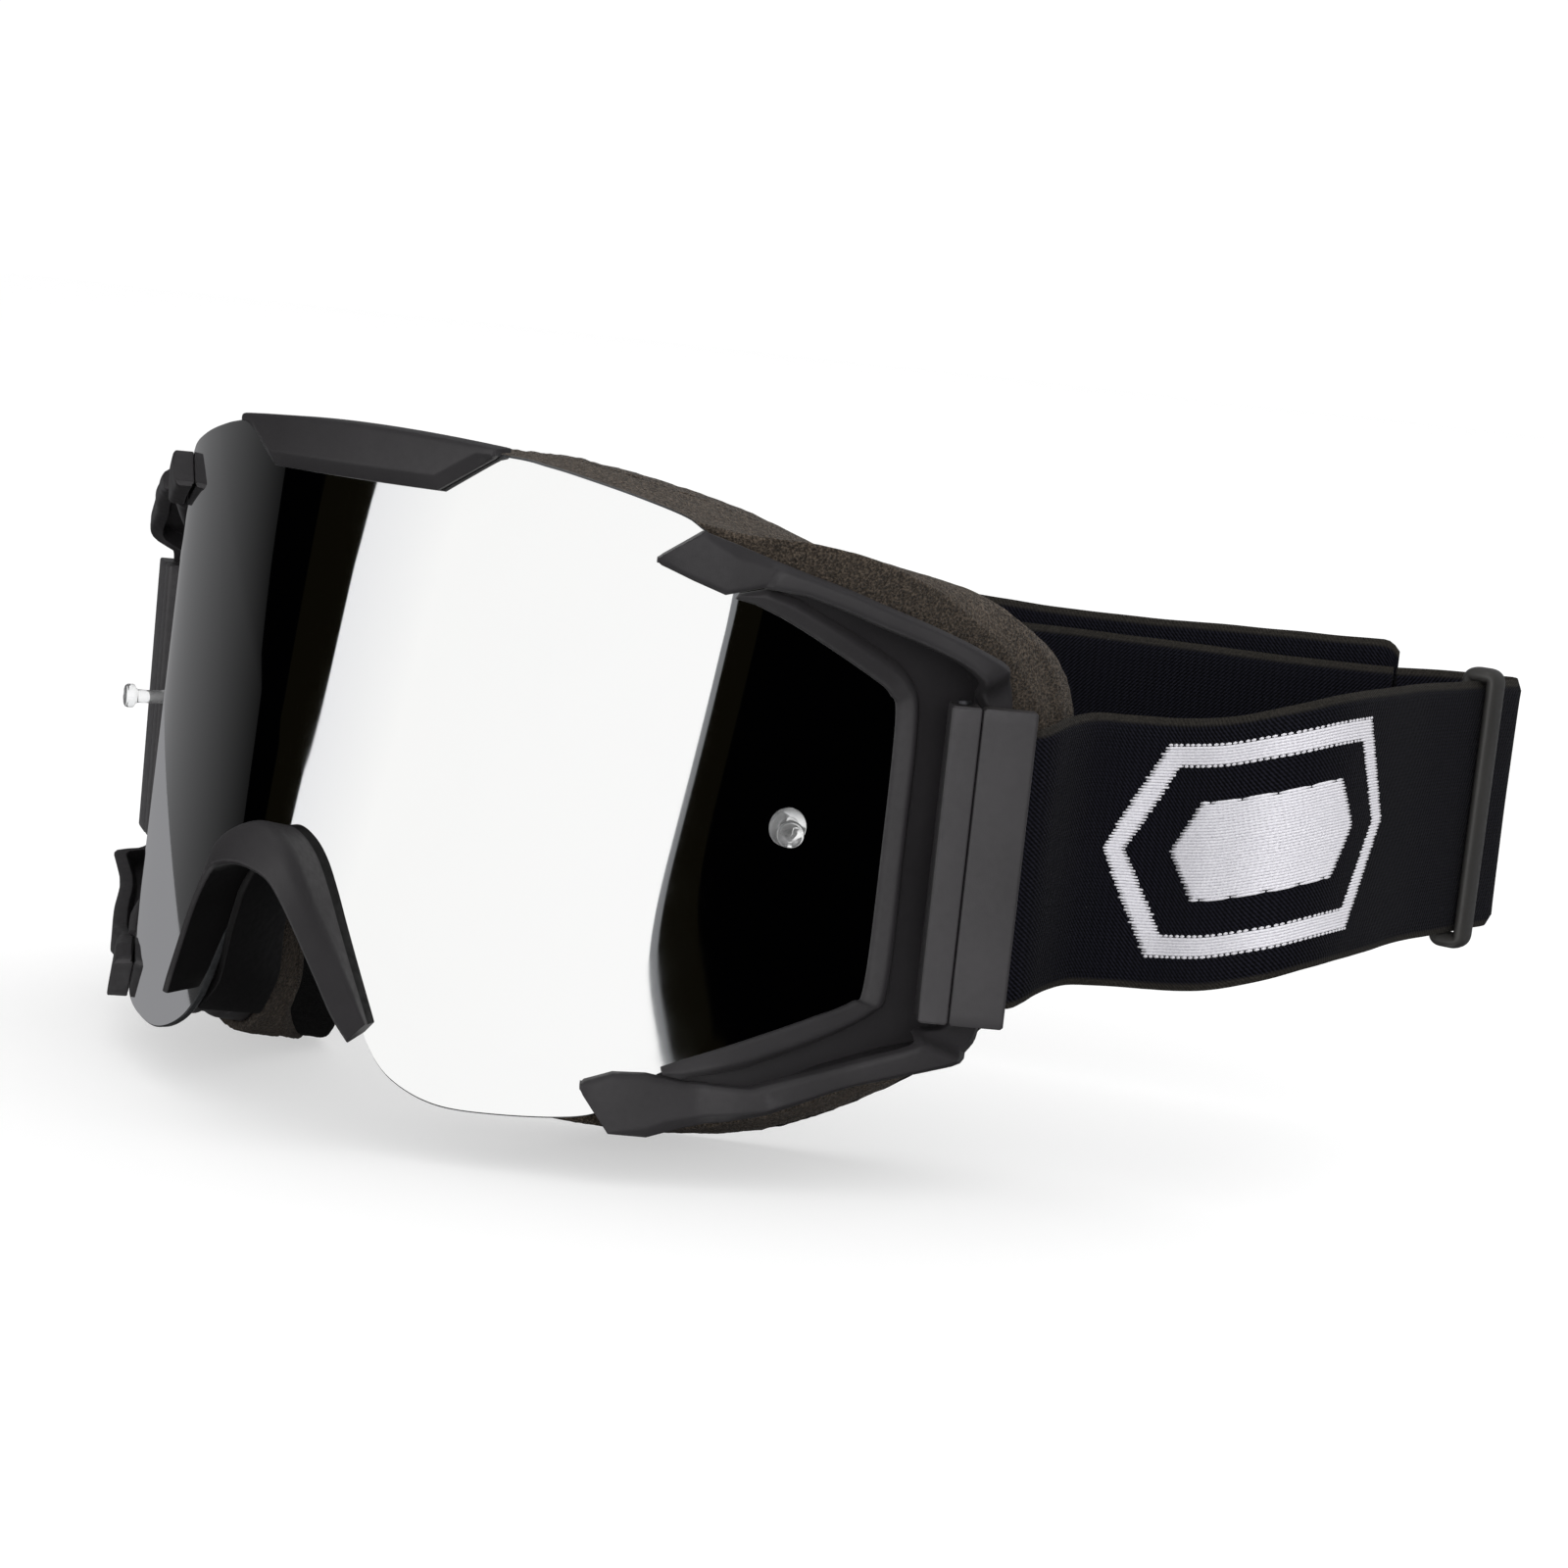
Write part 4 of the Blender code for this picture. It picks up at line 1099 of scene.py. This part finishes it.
settle(make_lens(), "goggles", "mirror_lens", "lens")
settle(make_frame(), "goggles", "shell_plastic", "frame_shell")
settle(make_brow(), "goggles", "shell_plastic", "brow_cover")
settle(make_arch(), "goggles", "shell_plastic", "nose_arch")
settle(make_guard(), "goggles", "black_rubber", "nose_guard")
coarse = make_foam("coarse_foam", FOAM, FRAME_SHARE, BASE_SHARE, outset=1.0, crown=1.0, lap=1, under=0.8,
                   soft_rear=1.2, nap=0.14, seed=1.0)
soft = make_foam("soft_foam", FOAM_SOFT, BASE_SHARE, MID_SHARE, outset=1.2, crown=0.85, lap=0, under=0.4,
                 soft_rear=3.0, nap=0.16, seed=2.0)
fleece = make_foam("fleece_layer", FLEECE, MID_SHARE, 1.0, outset=0.8, crown=-0.5, lap=0, under=0,
                   soft_rear=2.4, nap=0.12, seed=3.0)
settle(coarse, "goggles", "face_foam", "foam_base")
settle(soft, "goggles", "face_foam", "foam_middle")
settle(fleece, "goggles", "fleece", "foam_fleece")

for side, label in ((1, "left"), (-1, "right")):
    settle(make_outrigger(side, label), "goggles", "shell_plastic", "outrigger_" + label)
    settle(make_rim(side, label), "goggles", "shell_plastic", "lens_rim_" + label)
    post, keeper = make_post(side, label)
    settle(post, "goggles", "clear_plastic", "tear_off_post_" + label)
    settle(keeper, "goggles", "black_rubber", "post_keeper_" + label)
    bar, plate, pin = make_clip(side, label)
    settle(bar, "clip_" + label, "clip_plastic", "clip_bar_" + label)
    settle(plate, "clip_" + label, "clip_plastic", "clip_plate_" + label)
    settle(pin, "goggles", "steel_pin", "clip_pin_" + label)

left_strap, left_frames = webbing("strap_left_run", clip_route(1) + LEFT_ROUTE, 1.0)
right_strap, _ = webbing("strap_right_run", RIGHT_ROUTE + clip_route(-1)[::-1], 2.0)
tail, _ = webbing("strap_tail_run", TAIL_ROUTE[::-1], 3.0, end_cut=2.0)
for strap, side, label in ((left_strap, 1, "left"), (right_strap, -1, "right")):
    start = place((side * 95.2, 6.0, -4.7))
    end = place((side * 95.2, 27.0, -4.7))
    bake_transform(strap)
    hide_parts("strap_" + label, "strap_end_" + label)
settle(tail, "goggles", "elastic_webbing", "strap_tail")
badge = make_badge(left_frames, BADGE_MIDDLE)
settle(badge, "goggles", "elastic_webbing")
settle(make_slider(), "adjuster", "slider_plastic", "strap_slider")


# ---- floor, light and camera

def make_disc(name, level, tone, glow):
    """A wide round sheet of paper under the goggles, which may glow."""
    look = Look(name + "_paper", 0.9, Emission_Color=(1, 1, 1, 1), Emission_Strength=glow)
    look.colour(look.mix(look.noise(3, 2), (0.985 * tone,) * 3, (tone,) * 3))
    look.bump(look.noise(900, 2), 0.00002, 0.2)
    mesh = bpy.data.meshes.new(name)
    bm = bmesh.new()
    bmesh.ops.create_circle(bm, cap_ends=True, segments=96, radius=30)
    bm.to_mesh(mesh)
    bm.free()
    mesh.materials.append(look.material)
    made = shown(name, mesh)
    made.location.z = level
    made.visible_glossy = False
    return made


def make_floor():
    """The pale floor that the camera sees, and a dark flag below it that keeps bounce off the part."""
    floor = make_disc("floor", 0.0, 0.5, 0.5)
    floor.visible_diffuse = False
    flag = make_disc("flag", -0.002, 0.25, 0.0)
    flag.visible_camera = False


# Edges of the reflectors round the goggles, as (elevation, azimuth) in degrees.
BLACK_LEFT = [(-30, -60), (-2.4, -61), (-0.9, -62), (0.3, -63.5), (1.7, -64.3), (3, -64), (12, -62),
              (40, -62)]
BLACK_RIGHT = [(-30, -59), (-10, -54.5), (-0.7, -43.5), (0.2, -41.9), (1.4, -39.9), (2.8, -38.4), (4.2, -37),
               (5.3, -35.4), (12, -27), (40, -20)]
WHITE_RIGHT = [(-30, 100), (-12, 72), (-10, 66), (-8.6, 61.3), (-7.5, 57.6), (-6.6, 55.3), (-5.6, 54.7),
               (-4.6, 55.4), (-3.7, 56.2), (-2.8, 56.9), (-2, 57.4), (-1.2, 57.6), (2, 57.8), (40, 58)]
WALL_RADIUS, WALL_RISE = 8.0, 0.06
WALL_LOW, WALL_HIGH = -72.0, 78.0
TABLE_EDGE = -7.1           # elevation of the far edge of the pale table the goggles lie on
DIM_END = -128.0            # azimuth where the dim side of the studio ends
OLIVE, BLACK, DARK = (0.0034, 0.0029, 0.0016), (0.0003, 0.0003, 0.0004), (0.010, 0.010, 0.010)
GREY, DUSK, HAZE = (0.26, 0.26, 0.27), (0.26, 0.26, 0.265), (0.34, 0.34, 0.35)
BRIGHT, WARM, EDGE_WHITE = (1.08, 1.075, 1.06), (1.1, 1.095, 1.085), (0.93, 0.93, 0.94)


def make_wall():
    """Reflectors and flags that only reflections see: lit white in front, black flags at the sides."""
    left, right, white = (table(edge, 6) for edge in (BLACK_LEFT, BLACK_RIGHT, WHITE_RIGHT))
    verts, faces, tones = [], [], []

    def panel(low, high, start, end, tone_start, tone_end, columns=24, bend=1.0):
        """A panel between two edges, shaded from one to the other, in rows that meet its neighbours'."""
        if low < TABLE_EDGE < high:
            panel(low, TABLE_EDGE, start, end, tone_start, tone_end, columns, bend)
            panel(TABLE_EDGE, high, start, end, tone_start, tone_end, columns, bend)
            return
        rows = max(2, int((high - low) / 0.4))
        base = len(verts)
        for j in range(rows + 1):
            elevation = low + (high - low) * j / rows
            a, b = start(elevation), end(elevation)
            dim = between(elevation, (-34, -14, 20, 50), (0.12, 1, 1, 0.3))
            for i in range(columns + 1):
                t = i / columns
                azimuth = radians(a + (b - a) * t)
                verts.append((WALL_RADIUS * sin(azimuth), -WALL_RADIUS * cos(azimuth),
                              WALL_RADIUS * tan(radians(elevation)) + WALL_RISE))
                t = t ** bend
                tones.append([dim * (p + (q - p) * t) for p, q in zip(tone_start, tone_end)] + [1.0])
        for j in range(rows):
            for i in range(columns):
                k = base + j * (columns + 1) + i
                faces.append((k, k + 1, k + columns + 2, k + columns + 1))

    def at(azimuth):
        return lambda elevation: azimuth

    def beside(curve, degrees_on=0.0):
        return lambda elevation: between(elevation, *curve) + degrees_on

    def halfway(elevation):
        return 0.5 * (between(elevation, *left) + between(elevation, *right))

    low, edge, high = WALL_LOW, TABLE_EDGE, WALL_HIGH
    panel(low, edge, at(-180), beside(left), GREY, (0.30, 0.30, 0.31), 60)
    panel(edge, high, at(-180), at(DIM_END), HAZE, DUSK)
    panel(edge, high, at(DIM_END), beside(left), DUSK, DARK, 50, 0.64)
    panel(low, high, beside(left), halfway, BLACK, BLACK)
    panel(low, high, halfway, beside(right), OLIVE, OLIVE)
    panel(low, high, beside(right), beside(right, 22), EDGE_WHITE, BRIGHT)
    panel(low, high, beside(right, 22), beside(white), BRIGHT, WARM, 60)
    panel(low, high, beside(white), beside(white, 1.6), (0.22, 0.225, 0.235), (0.20, 0.205, 0.21))
    panel(low, high, beside(white, 1.6), beside(white, 9), OLIVE, OLIVE)
    panel(low, high, beside(white, 9), at(104), BLACK, BLACK, 40)
    panel(low, high, at(104), at(180), (0.02, 0.02, 0.021), GREY, 40)
    return verts, faces, tones


def hang_wall():
    """The wall as one mesh whose points glow in their own tones."""
    verts, faces, tones = make_wall()
    mesh = bpy.data.meshes.new("studio_wall")
    mesh.from_pydata(verts, [], faces)
    glow = mesh.attributes.new("glow", "FLOAT_COLOR", "POINT")
    glow.data.foreach_set("color", np.array(tones, np.float32).ravel())
    material = bpy.data.materials.new("studio_wall")
    material.use_nodes = True
    tree = material.node_tree
    tree.nodes.clear()
    out = tree.nodes.new("ShaderNodeOutputMaterial")
    emission = tree.nodes.new("ShaderNodeEmission")
    attribute = tree.nodes.new("ShaderNodeAttribute")
    attribute.attribute_name = "glow"
    tree.links.new(attribute.outputs["Color"], emission.inputs["Color"])
    tree.links.new(emission.outputs[0], out.inputs["Surface"])
    mesh.materials.append(material)
    made = shown("studio_wall", mesh)
    for ray in ("camera", "diffuse", "transmission", "volume_scatter", "shadow"):
        setattr(made, "visible_" + ray, False)


def toward(azimuth, elevation):
    """The direction from the part to a place at an azimuth and an elevation in degrees."""
    a, e = radians(azimuth), radians(elevation)
    return Vector((sin(a) * cos(e), -cos(a) * cos(e), sin(e)))


def area_light(name, azimuth, elevation, distance, size, power):
    """A rectangular light a distance in metres from the part, aimed at it."""
    data = bpy.data.lights.new(name, "AREA")
    data.shape = "RECTANGLE"
    data.size, data.size_y = size
    data.energy = power
    made = shown(name, data)
    way = toward(azimuth, elevation)
    made.location = place((0, 0, 0)) + way * distance
    made.rotation_mode = "QUATERNION"
    made.rotation_quaternion = way.to_track_quat("Z", "Y")
    made.visible_glossy = False


def make_light():
    """A white surround, a key light over the near side and two weak lights above and behind."""
    world = bpy.data.worlds.new("studio")
    bpy.context.scene.world = world
    world.use_nodes = True
    background = world.node_tree.nodes["Background"]
    background.inputs["Color"].default_value = (1, 1, 1, 1)
    background.inputs["Strength"].default_value = 1.06
    area_light("key", 35, 9, 1.7, (1.2, 0.8), 15)
    area_light("top", 120, 72, 1.5, (1.2, 1.2), 1.5)
    area_light("rear", 165, 30, 1.6, (1.2, 0.8), 3)


def make_camera():
    """The photograph's viewing angle and framing."""
    bpy.context.scene.view_settings.view_transform = "Standard"
    back, roll = toward(CAMERA_AZIMUTH, CAMERA_ELEVATION), radians(CAMERA_ROLL)
    right = Vector((cos(radians(CAMERA_AZIMUTH)), sin(radians(CAMERA_AZIMUTH)), 0))
    up = back.cross(right)
    across = cos(roll) * right + sin(roll) * up
    upward = -sin(roll) * right + cos(roll) * up
    data = bpy.data.cameras.new("camera")
    data.sensor_width = 36
    data.lens = CAMERA_LENS
    data.clip_start, data.clip_end = 0.01, 100
    made = shown("camera", data)
    turn = Matrix((across, upward, back)).transposed().to_4x4()
    spot = place(Vector(CAMERA_TARGET) + back * CAMERA_DISTANCE)
    made.matrix_world = Matrix.Translation(spot) @ turn
    bpy.context.scene.camera = made


make_floor()
hang_wall()
make_light()
make_camera()
